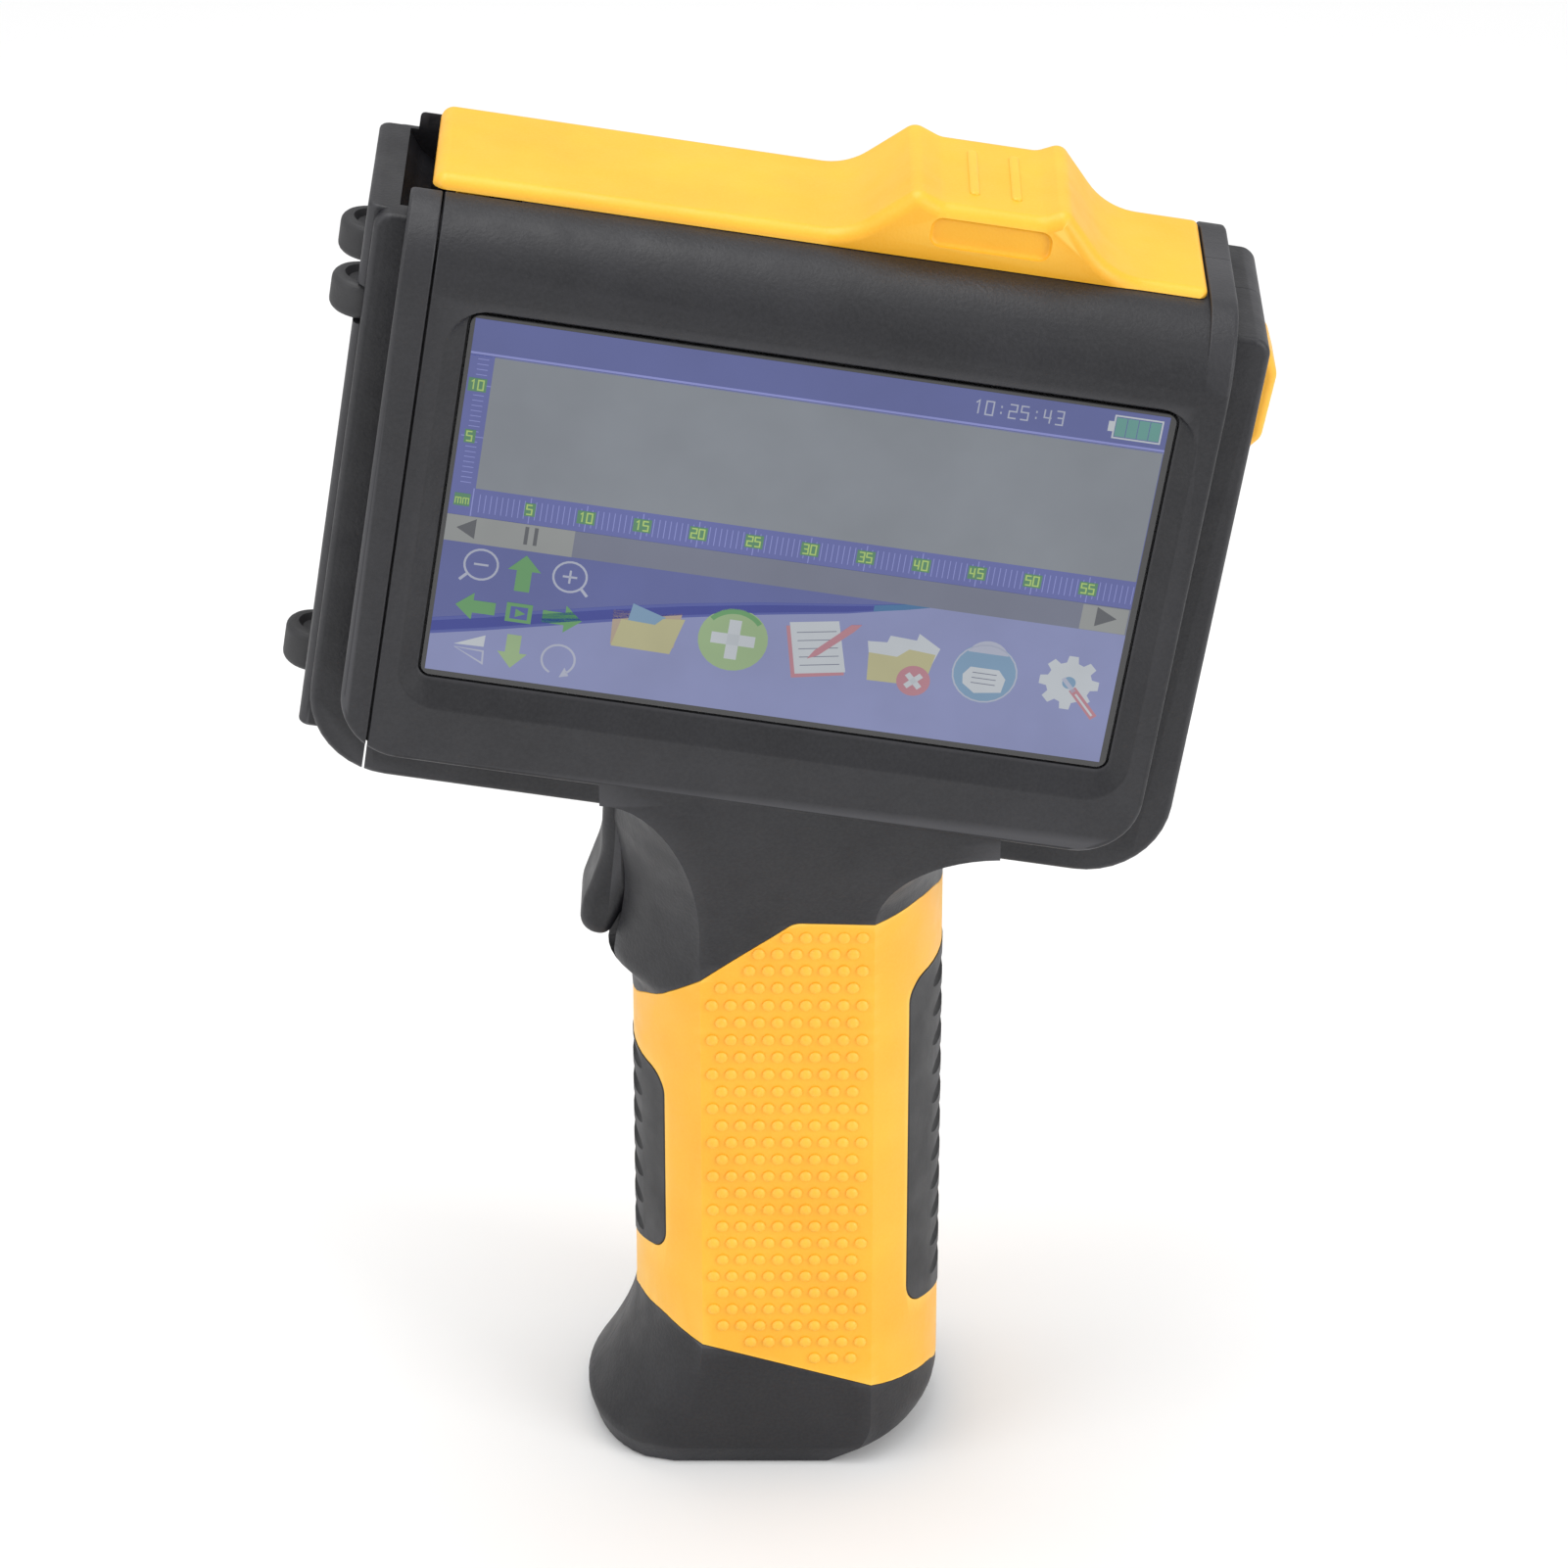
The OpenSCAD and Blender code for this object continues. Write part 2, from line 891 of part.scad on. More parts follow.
module shell_screws() {
  color([0.25, 0.25, 0.27])
    for (p = screw_places)
      translate([p[0], p[2] - screw_sink + 1.9, p[1]])
        rotate([90, 0, 0])
          difference() {
            union() {
              cylinder(h = 1.9, r = screw_head_r, $fn = 32);
              cylinder(h = 12, r = screw_r, $fn = 32);
            }
            translate([0, 0, -1])
              cylinder(h = 2, r = 1.1, $fn = 6);
          }
}

front_shell();
rear_shell();
nose_cover();
lid();
lid_hinge_pin();
cover_glass();
screen_gasket();
lcd_module();
main_board();
board_chips();
battery_lead_socket();
cartridge_holder();
ink_cartridge();
nozzle_plate();
contact_board();
holder_screws();
upper_roller_front();
upper_roller_rear();
lower_roller();
roller_pins();
encoder_board();
grip_front();
grip_rear();
finger_pad();
palm_pad();
trigger();
trigger_pin();
trigger_spring();
trigger_switch();
power_button();
button_switch();
button_board();
battery_cell_left();
battery_cell_right();
battery_cradle();
contact_strips();
charge_socket();
buzzer();
lid_catch();
shell_screws();
board_screws();
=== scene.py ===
import json
import math

import bmesh
import bpy
import numpy as np
from mathutils import Matrix, Vector


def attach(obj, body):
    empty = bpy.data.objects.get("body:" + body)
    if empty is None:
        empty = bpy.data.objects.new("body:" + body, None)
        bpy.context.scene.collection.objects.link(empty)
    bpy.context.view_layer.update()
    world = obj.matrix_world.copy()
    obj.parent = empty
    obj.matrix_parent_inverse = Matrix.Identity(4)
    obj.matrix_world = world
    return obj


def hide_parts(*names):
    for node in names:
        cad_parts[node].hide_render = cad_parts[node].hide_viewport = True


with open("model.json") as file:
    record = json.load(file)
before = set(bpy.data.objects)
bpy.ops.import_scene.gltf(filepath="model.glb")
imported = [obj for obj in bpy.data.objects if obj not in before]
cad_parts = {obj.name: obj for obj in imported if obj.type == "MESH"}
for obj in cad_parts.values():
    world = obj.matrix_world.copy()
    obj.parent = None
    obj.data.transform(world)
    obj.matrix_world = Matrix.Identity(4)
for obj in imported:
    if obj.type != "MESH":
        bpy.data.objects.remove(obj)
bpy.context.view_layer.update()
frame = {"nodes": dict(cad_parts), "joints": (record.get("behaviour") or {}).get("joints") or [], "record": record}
NODES = frame["nodes"]
MM = 0.001
for imported in list(bpy.data.materials):
    bpy.data.materials.remove(imported)


# ---- materials ---------------------------------------------------------------


def new_material(name):
    """A fresh material with its node tree and its surface shader."""
    material = bpy.data.materials.new(name)
    material.use_nodes = True
    tree = material.node_tree
    return material, tree, tree.nodes["Principled BSDF"]


def noise(tree, scale, detail=3.0, roughness=0.55):
    """Object-space noise; scale is in cycles per metre."""
    coords = tree.nodes.new("ShaderNodeTexCoord")
    texture = tree.nodes.new("ShaderNodeTexNoise")
    texture.inputs["Scale"].default_value = scale
    texture.inputs["Detail"].default_value = detail
    texture.inputs["Roughness"].default_value = roughness
    tree.links.new(coords.outputs["Object"], texture.inputs["Vector"])
    return texture.outputs["Fac"]


def ramp(tree, source, stops):
    """Colours a 0 to 1 source through (position, colour) stops."""
    node = tree.nodes.new("ShaderNodeValToRGB")
    elements = node.color_ramp.elements
    while len(elements) < len(stops):
        elements.new(0.5)
    for element, (position, colour) in zip(elements, stops):
        element.position = position
        element.color = (*colour, 1.0)
    tree.links.new(source, node.inputs["Fac"])
    return node.outputs["Color"]


def spread(tree, source, low, high):
    """Maps the middle of a noise's range onto low to high."""
    node = tree.nodes.new("ShaderNodeMapRange")
    node.inputs["From Min"].default_value = 0.3
    node.inputs["From Max"].default_value = 0.7
    node.inputs["To Min"].default_value = low
    node.inputs["To Max"].default_value = high
    tree.links.new(source, node.inputs["Value"])
    return node.outputs["Result"]


def bump(tree, heights, shader):
    """Chains (source, distance in metres, strength) bumps into the shader's normal."""
    last = None
    for source, distance, strength in heights:
        node = tree.nodes.new("ShaderNodeBump")
        node.inputs["Distance"].default_value = distance
        node.inputs["Strength"].default_value = strength
        tree.links.new(source, node.inputs["Height"])
        if last:
            tree.links.new(last, node.inputs["Normal"])
        last = node.outputs["Normal"]
    tree.links.new(last, shader.inputs["Normal"])


def edge_highlight_mask(tree, low=0.52, high=0.60):
    """White on convex edges: the mask of the painted highlight along them."""
    geometry = tree.nodes.new("ShaderNodeNewGeometry")
    node = tree.nodes.new("ShaderNodeMapRange")
    node.inputs["From Min"].default_value = low
    node.inputs["From Max"].default_value = high
    tree.links.new(geometry.outputs["Pointiness"], node.inputs["Value"])
    return node.outputs["Result"]


def mix(tree, factor, under, over):
    """Blends the colour socket under towards the fixed colour over."""
    node = tree.nodes.new("ShaderNodeMix")
    node.data_type = "RGBA"
    colour_a, colour_b = [socket for socket in node.inputs if socket.type == "RGBA"]
    tree.links.new(factor, node.inputs["Factor"])
    tree.links.new(under, colour_a)
    colour_b.default_value = (*over, 1.0)
    return next(socket for socket in node.outputs if socket.type == "RGBA")


def moulded_plastic(name, dark, light, fleck_and_edge_highlight, rough, grain, grain_depth, coat=0.0):
    """Spark-textured moulding: fine grain, slow colour drift, and a painted highlight that lightens the convex
    edges.
    """
    material, tree, shader = new_material(name)
    drift = ramp(tree, noise(tree, 55.0, 2.0), [(0.35, dark), (0.65, light)])
    speck = spread(tree, noise(tree, grain, 1.0), 0.0, 0.12)
    base = mix(tree, speck, drift, fleck_and_edge_highlight)
    # Painted highlight: convex edges are blended towards the lighter fleck colour
    colour = mix(tree, edge_highlight_mask(tree), base, fleck_and_edge_highlight)
    tree.links.new(colour, shader.inputs["Base Color"])
    tree.links.new(spread(tree, noise(tree, 180.0, 4.0), *rough), shader.inputs["Roughness"])
    bump(tree, [(noise(tree, grain, 2.0), grain_depth, 0.55),
                (noise(tree, 90.0, 2.0), 0.00012, 0.12)], shader)
    shader.inputs["Coat Weight"].default_value = coat
    return material


def metal(name, dark, light, rough, streak=900.0):
    """Metal with slow changes of tone and roughness, and fine pitting."""
    material, tree, shader = new_material(name)
    colour = ramp(tree, noise(tree, streak, 3.0), [(0.3, dark), (0.7, light)])
    tree.links.new(colour, shader.inputs["Base Color"])
    tree.links.new(spread(tree, noise(tree, streak * 0.6, 4.0), *rough), shader.inputs["Roughness"])
    bump(tree, [(noise(tree, streak * 2.5, 2.0), 0.00002, 0.4)], shader)
    shader.inputs["Metallic"].default_value = 1.0
    return material


# The third colour of each moulding is its fleck colour; it is also painted onto the convex edges as a highlight
BLACK = moulded_plastic("black_plastic", (0.0048, 0.0048, 0.0072), (0.0082, 0.0082, 0.0114),
                        (0.050, 0.050, 0.056), (0.42, 0.56), 1900.0, 0.00010)
YELLOW = moulded_plastic("yellow_plastic", (0.93, 0.43, 0.016), (0.97, 0.48, 0.022),
                         (1.0, 0.60, 0.09), (0.36, 0.50), 2600.0, 0.00004)
GREY = moulded_plastic("grey_plastic", (0.16, 0.16, 0.165), (0.20, 0.20, 0.205),
                       (0.30, 0.30, 0.30), (0.45, 0.6), 2400.0, 0.00005)
CHIP = moulded_plastic("chip_plastic", (0.012, 0.012, 0.013), (0.02, 0.02, 0.021),
                       (0.06, 0.06, 0.06), (0.5, 0.65), 4000.0, 0.00003)
SOCKET = moulded_plastic("socket_plastic", (0.72, 0.70, 0.64), (0.80, 0.78, 0.72),
                         (0.9, 0.9, 0.86), (0.35, 0.5), 2400.0, 0.00003)
CARTRIDGE = moulded_plastic("cartridge_plastic", (0.014, 0.014, 0.016), (0.022, 0.022, 0.025),
                            (0.07, 0.07, 0.075), (0.3, 0.42), 2600.0, 0.00005)
WRAP = moulded_plastic("cell_wrap", (0.03, 0.12, 0.34), (0.045, 0.16, 0.42),
                       (0.15, 0.3, 0.55), (0.22, 0.32), 1200.0, 0.00002, coat=0.5)
RUBBER = moulded_plastic("rubber", (0.020, 0.020, 0.022), (0.030, 0.030, 0.032),
                         (0.04, 0.04, 0.045), (0.50, 0.66), 3800.0, 0.00007)
GLASS = moulded_plastic("screen_glass", (0.01, 0.01, 0.012), (0.012, 0.012, 0.014),
                        (0.03, 0.03, 0.03), (0.06, 0.10), 900.0, 0.000002, coat=0.6)
CAN = metal("metal_can", (0.55, 0.55, 0.56), (0.68, 0.68, 0.69), (0.25, 0.38))
STEEL = metal("steel", (0.50, 0.50, 0.51), (0.62, 0.62, 0.63), (0.20, 0.34))
BLACK_STEEL = metal("black_steel", (0.06, 0.06, 0.062), (0.10, 0.10, 0.102), (0.30, 0.45))
GOLD = metal("gold_plate", (0.80, 0.56, 0.20), (0.92, 0.68, 0.28), (0.18, 0.30))
BOARD = moulded_plastic("circuit_board", (0.010, 0.085, 0.030), (0.016, 0.12, 0.045),
                        (0.05, 0.2, 0.1), (0.3, 0.45), 1500.0, 0.00004)
SLOTS = {m.name: m for m in (BLACK, YELLOW, GREY, CHIP, SOCKET, CARTRIDGE, WRAP, RUBBER, GLASS,
                             CAN, STEEL, BLACK_STEEL, GOLD, BOARD)}

# Every CAD node that no piece replaces wears the material of its slot
for part in frame["record"]["subparts"]:
    node = NODES[part["node"]]
    node.data.materials.clear()
    node.data.materials.append(SLOTS[part["material_slot"]])


# ---- geometry in millimetres ---------------------------------------------------

JOINTS = {joint["name"]: joint for joint in frame["joints"]}
SPIN = JOINTS["upper_front_spin"]
TILT = math.atan2(SPIN["axis"][0], SPIN["axis"][2])
ROLLER_X, UPPER_Z, LOWER_Z = -62.8, 22.5, -37.0
TURN = Matrix.Rotation(TILT, 4, "Y")
HEAD_ORIGIN = Vector(SPIN["pos_m"]) / MM - TURN @ Vector((ROLLER_X, 0, UPPER_Z))
HEAD_ORIGIN.y = 0.0
HEAD = Matrix.Translation(HEAD_ORIGIN) @ TURN      # from the head's raked axes to the shared frame
GRIP = Matrix.Identity(4)                          # the grip stands upright in the shared frame


def outline(corners, inset=0.0, steps=8):
    """Closed counter-clockwise outline through (u, v, radius) corners, moved inwards by inset."""
    points = []
    for i, (u, v, radius) in enumerate(corners):
        here = Vector((u, v))
        before = (here - Vector(corners[i - 1][:2])).normalized()
        after = (Vector(corners[(i + 1) % len(corners)][:2]) - here).normalized()
        inward_a, inward_b = Vector((-before.y, before.x)), Vector((-after.y, after.x))
        turn = math.atan2(before.x * after.y - before.y * after.x, before.dot(after))
        corner = here + (inward_a + inward_b) * inset / (1 + inward_a.dot(inward_b))
        if radius == 0:
            points.append(corner)
            continue
        side = 1 if turn > 0 else -1
        bend = max(radius - side * inset, 0.03)
        centre = corner - before * bend * math.tan(abs(turn) / 2) + inward_a * bend * side
        start = -inward_a * bend * side
        for k in range(steps + 1):
            a = turn * k / steps
            points.append(centre + Vector((start.x * math.cos(a) - start.y * math.sin(a),
                                           start.x * math.sin(a) + start.y * math.cos(a))))
    return points


def to_object(name, bm):
    """Turns a bmesh into a linked object, with its normals facing out."""
    bmesh.ops.recalc_face_normals(bm, faces=bm.faces[:])
    mesh = bpy.data.meshes.new(name)
    bm.to_mesh(mesh)
    bm.free()
    made = bpy.data.objects.new(name, mesh)
    bpy.context.collection.objects.link(made)
    return made


def skin(name, rings, frame_matrix=GRIP):
    """Closed solid through equal-length rings of 3-D points."""
    bm = bmesh.new()
    loops = [[bm.verts.new(frame_matrix @ Vector(p) * MM) for p in ring] for ring in rings]
    for low, high in zip(loops, loops[1:]):
        for i in range(len(low)):
            j = (i + 1) % len(low)
            bm.faces.new((low[i], low[j], high[j], high[i]))
    bm.faces.new(loops[0])
    bm.faces.new(loops[-1])
    return to_object(name, bm)


# Puts a level w and an outline point (u, v) in place for each extrusion axis
PLACE = {"x": lambda w, u, v: (w, u, v), "y": lambda w, u, v: (u, w, v), "z": lambda w, u, v: (u, v, w)}


def prism(corners, low, high, axis, lips=(0.0, 0.0), frame_matrix=GRIP, steps=8, lip_steps=3):
    """Outline extruded along an axis, with its two end edges rounded by the lip radii."""
    ends = []
    for level, lip, sign in ((low, lips[0], 1), (high, lips[1], -1)):
        count = lip_steps if lip else 0
        turns = [math.pi / 2 * k / count for k in range(count + 1)] if lip else [math.pi / 2]
        rows = [(level + sign * lip * (1 - math.cos(a)), lip * (1 - math.sin(a))) for a in turns]
        ends.append(rows if sign > 0 else rows[::-1])
    rings = [[PLACE[axis](w, p.x, p.y) for p in outline(corners, inset, steps)]
             for w, inset in ends[0] + ends[1]]
    return skin("solid", rings, frame_matrix)


def block(low, high, frame_matrix=GRIP, lip=0.0):
    """Box between two corners, with all its edges rounded by lip."""
    corners = [(low[0], low[1], lip), (high[0], low[1], lip), (high[0], high[1], lip), (low[0], high[1], lip)]
    return prism(corners, low[2], high[2], "z", (lip, lip), frame_matrix, 4)


def rod(centre, radius, low, high, axis, frame_matrix=GRIP, lips=(0.0, 0.0), steps=12):
    """Round bar; centre is its place in the two other axes."""
    u, v = centre
    corners = [(u - radius, v - radius, radius), (u + radius, v - radius, radius),
               (u + radius, v + radius, radius), (u - radius, v + radius, radius)]
    return prism(corners, low, high, axis, lips, frame_matrix, steps)


def boolean(target, operation, *tools):
    """Applies each tool to the target in turn and uses the tools up."""
    for tool in tools:
        modifier = target.modifiers.new("step", "BOOLEAN")
        modifier.operation = operation
        modifier.solver = "MANIFOLD"
        modifier.object = tool
    bpy.context.view_layer.update()
    result = bpy.data.meshes.new_from_object(target.evaluated_get(bpy.context.evaluated_depsgraph_get()))
    target.modifiers.clear()
    target.data = result
    for tool in tools:
        bpy.data.objects.remove(tool)
    return target


def join(target, *tools):
    return boolean(target, "UNION", *tools)


def cut(target, *tools):
    return boolean(target, "DIFFERENCE", *tools)


def keep(target, *tools):
    return boolean(target, "INTERSECT", *tools)


def copy(source):
    twin = source.copy()
    twin.data = source.data.copy()
    bpy.context.collection.objects.link(twin)
    return twin


WELD = 0.002 * MM


def piece(obj, name, body, slot, replaced, crease=32.0):
    """Names, shades and places a finished piece, which takes the place of the replaced nodes."""
    bm = bmesh.new()
    bm.from_mesh(obj.data)
    bmesh.ops.remove_doubles(bm, verts=bm.verts[:], dist=WELD)
    bmesh.ops.dissolve_degenerate(bm, edges=bm.edges[:], dist=WELD)
    for face in bm.faces:
        face.smooth = True
    bm.to_mesh(obj.data)
    bm.free()
    obj.data.set_sharp_from_angle(angle=math.radians(crease))
    obj.name = obj.data.name = name
    obj.data.materials.clear()
    obj.data.materials.append(SLOTS[slot])
    normals = obj.modifiers.new("normals", "WEIGHTED_NORMAL")
    normals.keep_sharp = True
    normals.weight = 60
    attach(obj, body)
    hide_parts(*replaced)


# ---- head casing ---------------------------------------------------------------

BULGE_X0, BULGE_X1, BULGE_Z0, TOP_Z = -58.4, 54.6, -41.0, 40.4
CORE_X0, CORE_X1, CORE_Z0, CORE_Z1 = -62.7, 59.9, -47.9, 37.5
FRONT, REAR, CORE_FRONT, CORE_REAR = -24.0, 20.0, -17.0, 15.0
JOINT_X, NOSE_X, PLATE_Z0, WALL = -53.9, -63.8, -43.0, 2.2
SEAM = 0.15                  # half the gap between the nose cover and the casing
RIM_X, RIM_Z = 50.75, 41.3   # raised rim beyond the lid's right end
HINGE_X, HINGE_Z, HEEL_R, TROUGH = -50.0, 37.6, 7.2, 13.3


def bulge(x0, x1, inset=0.0, lips=(0.6, 0.6)):
    """Deep part of the housing: a shouldered section crossed with a round-cornered outline."""
    section = [(FRONT + inset, BULGE_Z0 + inset, 0.6), (REAR - inset, BULGE_Z0 + inset, 0.6),
               (REAR - inset, TOP_Z - inset, 9.0), (FRONT + inset, TOP_Z - inset, 10.4)]
    face = [(BULGE_X0 + inset, BULGE_Z0 + inset, 9.0), (BULGE_X1 - inset, BULGE_Z0 + inset, 9.0),
            (BULGE_X1 - inset, TOP_Z + 4, 1.0), (BULGE_X0 + inset, TOP_Z + 4, 1.0)]
    return keep(prism(section, x0, x1, "x", lips, HEAD, 10),
                prism(face, FRONT + inset, REAR - inset, "y", (0.6, 0.6), HEAD, 10))


def core(x0, x1, inset=0.0):
    """Thinner slab behind the bulge, which shows as the end plates and the lower rim."""
    face = [(CORE_X0 + inset, CORE_Z0 + inset, 12.0), (CORE_X1 - inset, CORE_Z0 + inset, 12.0),
            (CORE_X1 - inset, CORE_Z1 - inset, 2.4), (CORE_X0 + inset, CORE_Z1 - inset, 2.4)]
    slab = prism(face, CORE_FRONT + inset, CORE_REAR - inset, "y", (0.9, 0.9), HEAD, 10)
    return keep(slab, block((x0, -40, -60), (x1, 40, 60), HEAD))


# ---- neck, grip and foot ---------------------------------------------------------

ARC_R, ARC_C, DEPTH = 24.78, 2.13, 20.0
NECK_L, NECK_R = (26.3, 92.0, 23.4), (30.0, 93.9, 12.2)     # reach, height of its start, rise
LEAN_START, LEAN_RISE = 84.0, 32.0                          # where the front leans out to the head
TOE, TOE_SIDE, TOE_TOP, TOE_FALL = 30.2, 17.0, 22.0, 18.0
HEEL_RADIUS, BOTTOM_BAND = 8.0, 3.0
FOOT_ROUND = {0.0: 1.25, 0.25: 0.9}                         # inset of the foot's lowest edges
# Height, and how far the trigger's housing stands out there from the left flank
HOUSING = ((73, 0), (76, 0.2), (78, 0.7), (79.3, 2.1), (80.5, 3.7), (82, 4.2), (85, 3.7), (88, 2.8),
           (92, 2.1), (96, 1.9), (100.6, 2.3), (104, 2.6), (108, 1.8), (113, 0))


def flare(x, z, reach, start, rise):
    """Sweeps a side out from the grip to its reach, as a quarter ellipse."""
    if z <= start:
        return x
    t = min((z - start) / rise, 1.0)
    return reach - (reach - x) * math.sqrt(max(1 - t * t, 0.0))


def smooth_step(t):
    t = min(max(t, 0.0), 1.0)
    return t * t * (3 - 2 * t)


def front_depth(z):
    """How far forward the handle's front lies: it leans out to meet the head's front face."""
    return DEPTH + (abs(FRONT) - 0.05 - DEPTH) * smooth_step((z - LEAN_START) / LEAN_RISE)


def housing(z):
    return float(np.interp(z, *zip(*HOUSING)))


def section(z, inset=0.0, panel_steps=8, flank_steps=22):
    """Outline of the handle at height z, from the front left crease round to the back left one."""
    toe = min(max((TOE_TOP - z) / TOE_FALL, 0.0), 1.0) ** 1.6
    heel = HEEL_RADIUS - math.sqrt(max(HEEL_RADIUS ** 2 - max(HEEL_RADIUS - z, 0.0) ** 2, 0.0))
    half_angle = math.asin(DEPTH / ARC_R)

    def right(share):
        x = math.sqrt(ARC_R ** 2 - (share * DEPTH) ** 2) - ARC_C
        return flare(x, z, *NECK_R) - heel

    def left(share):
        x = math.sqrt(ARC_R ** 2 - (share * DEPTH) ** 2) - ARC_C
        foot = TOE_SIDE + (TOE - TOE_SIDE) * math.sqrt(max(1 - share ** 2, 0.0))
        x = flare(x + (foot - x) * toe, z, *NECK_L)
        return -min(x + housing(z) * (1 - share ** 2) ** 1.3, max(x, NECK_L[0]))

    points = []
    for k in range(panel_steps):
        x = left(-1) + (right(-1) - left(-1)) * k / panel_steps
        points.append((x, -front_depth(z)))
    for k in range(flank_steps):
        share = math.sin(half_angle * (2 * k / flank_steps - 1)) * ARC_R / DEPTH
        points.append((right(share), share * (front_depth(z) if share < 0 else DEPTH)))
    for k in range(panel_steps):
        points.append((right(1) + (left(1) - right(1)) * k / panel_steps, DEPTH))
    for k in range(flank_steps):
        share = -math.sin(half_angle * (2 * k / flank_steps - 1)) * ARC_R / DEPTH
        points.append((left(share), share * (front_depth(z) if share < 0 else DEPTH)))
    if inset:
        points = shrink(points, inset)
    return [(x, y, z) for x, y in points]


def shrink(points, inset):
    """Moves a closed outline inwards by inset."""
    moved = []
    for i, (x, y) in enumerate(points):
        ahead, behind = points[(i + 1) % len(points)], points[i - 1]
        a = Vector((x - behind[0], y - behind[1])).normalized()
        b = Vector((ahead[0] - x, ahead[1] - y)).normalized()
        na, nb = Vector((-a.y, a.x)), Vector((-b.y, b.x))
        step = (na + nb) * inset / (1 + na.dot(nb))
        moved.append((x + step.x, y + step.y))
    return moved


def handle(inset=0.0, low=0.0, high=122.0):
    """Foot, grip and neck in one solid, or with an inset the shape that hollows them."""
    levels = [low] if inset else [*FOOT_ROUND, BOTTOM_BAND]
    levels += [*np.linspace(3.4, 8.0, 10)] if low < BOTTOM_BAND else []
    levels += [z for z in np.linspace(9.0, 22.0, 14) if z > low]
    levels += [30.0, 40.0, 50.0, 60.0, 68.0, *np.linspace(71.0, 91.0, 31)]
    for _, start, rise in (NECK_L, NECK_R):
        levels += [start + rise * math.sin(math.pi / 2 * k / 14) for k in range(15)]
    levels = sorted(set(round(z, 3) for z in levels if low <= z < high)) + [high]
    return skin("handle", [section(z, inset or FOOT_ROUND.get(z, 0.0)) for z in levels])


FOREVER = 90.0      # beyond every side of the part


def half(solid, side, seam=0.05):
    """The front (-1) or rear (+1) half of a solid, kept clear of the parting plane."""
    y = sorted((side * seam, side * FOREVER))
    return keep(solid, block((-FOREVER, y[0], -10), (FOREVER, y[1], 230)))


def head_point(x, z):
    place = HEAD @ Vector((x, 0, z))
    return place.x, place.z


# Casing screws: place in X and Z, the back face they enter by, and how far forward their post reaches
SCREWS = [(*head_point(-45, -43.6), CORE_REAR, 13), (*head_point(53, -40.4), CORE_REAR, 13),
          (*head_point(46, 35.2), 19, 13), (8, 92, DEPTH, 18.5), (0, 5.8, DEPTH, 13)]
POST_R, SCREW_HEAD_R, SCREW_R = 3.4, 2.6, 1.42
PIVOT, PIVOT_R = (-17.5, 101.5), 1.02        # trigger pin, in X and Z
HINGE_BLOCK_Z0 = HINGE_Z - HEEL_R - 1.2


def hinge_block(x0, x1):
    """Solid part around the hinge, under the lid's heel."""
    return keep(bulge(x0, x1), block((x0 - 1, -15.6, HINGE_BLOCK_Z0), (x1 + 1, 15.6, 60), HEAD))


def heel_sweep():
    """Room that the lid's hinged end needs as it opens."""
    tube = rod((HINGE_X, HINGE_Z), HEEL_R, -TROUGH, TROUGH, "y", HEAD)
    return join(tube, block((HINGE_X - HEEL_R, -TROUGH, HINGE_Z), (HINGE_X, TROUGH, 60), HEAD))


def hollows():
    """Insides of the head and the grip, the well under the battery and the lid's trough."""
    inside = join(bulge(JOINT_X - 5, BULGE_X1 - WALL, WALL), core(JOINT_X - 5, CORE_X1 - WALL, WALL),
                  block((HINGE_X, -11, 20), (38, 11, 60), HEAD))
    inside = cut(inside, hinge_block(JOINT_X - 6, HINGE_X + HEEL_R - 1))
    well = keep(rod((0, 0), 17.4, 2.6, 24, "z"), block((-30, -15.5, 2), (30, 15.5, 30)))
    return [inside, handle(3.7, 10.4, 116.0), well, heel_sweep()]


def zone(grow):
    """Side view of the coloured grip shells, grown outwards a little for the black casing's cut."""
    corners = [(-32, 20.0, 0), (-23.0, 20.3, 1.5), (-22.0, 23.0, 1.5), (-18.6, 23.8, 4), (-12.5, 21.9, 0.5),
               (12.5, 14.5, 0.5), (18.3, 12.7, 6), (21.4, 11.1, 3), (22.7, 8.2, 1), (32, 7, 0),
               (32, 91.4, 0), (22.7, 91.8, 1), (21.0, 94.0, 2), (18.6, 94.6, 3), (12.5, 94.3, 1), (1, 94.6, 3),
               (-2, 92.2, 4), (-12.5, 84.4, 1.5), (-17.0, 80.7, 8), (-20.6, 76.9, 5), (-22.4, 73.8, 3),
               (-22.8, 71.9, 1), (-32, 71.5, 0)]
    return prism(corners_grown(corners, grow), -FOREVER, FOREVER, "y", steps=6)


def corners_grown(corners, grow):
    """Moves the corners outwards and keeps their radii."""
    moved = outline([(u, v, 0) for u, v, _ in corners], -grow)
    return [(p.x, p.y, radius) for p, (_, _, radius) in zip(moved, corners)]


def trigger_slot():
    side_view = [(-40, 80.4, 0), (-20, 80.4, 0), (-10, 84, 0), (-10, 106, 0), (-24, 111.1, 0), (-40, 113.6, 0)]
    return prism(side_view, -7, 7, "y")


BUTTON_Z = 22.0


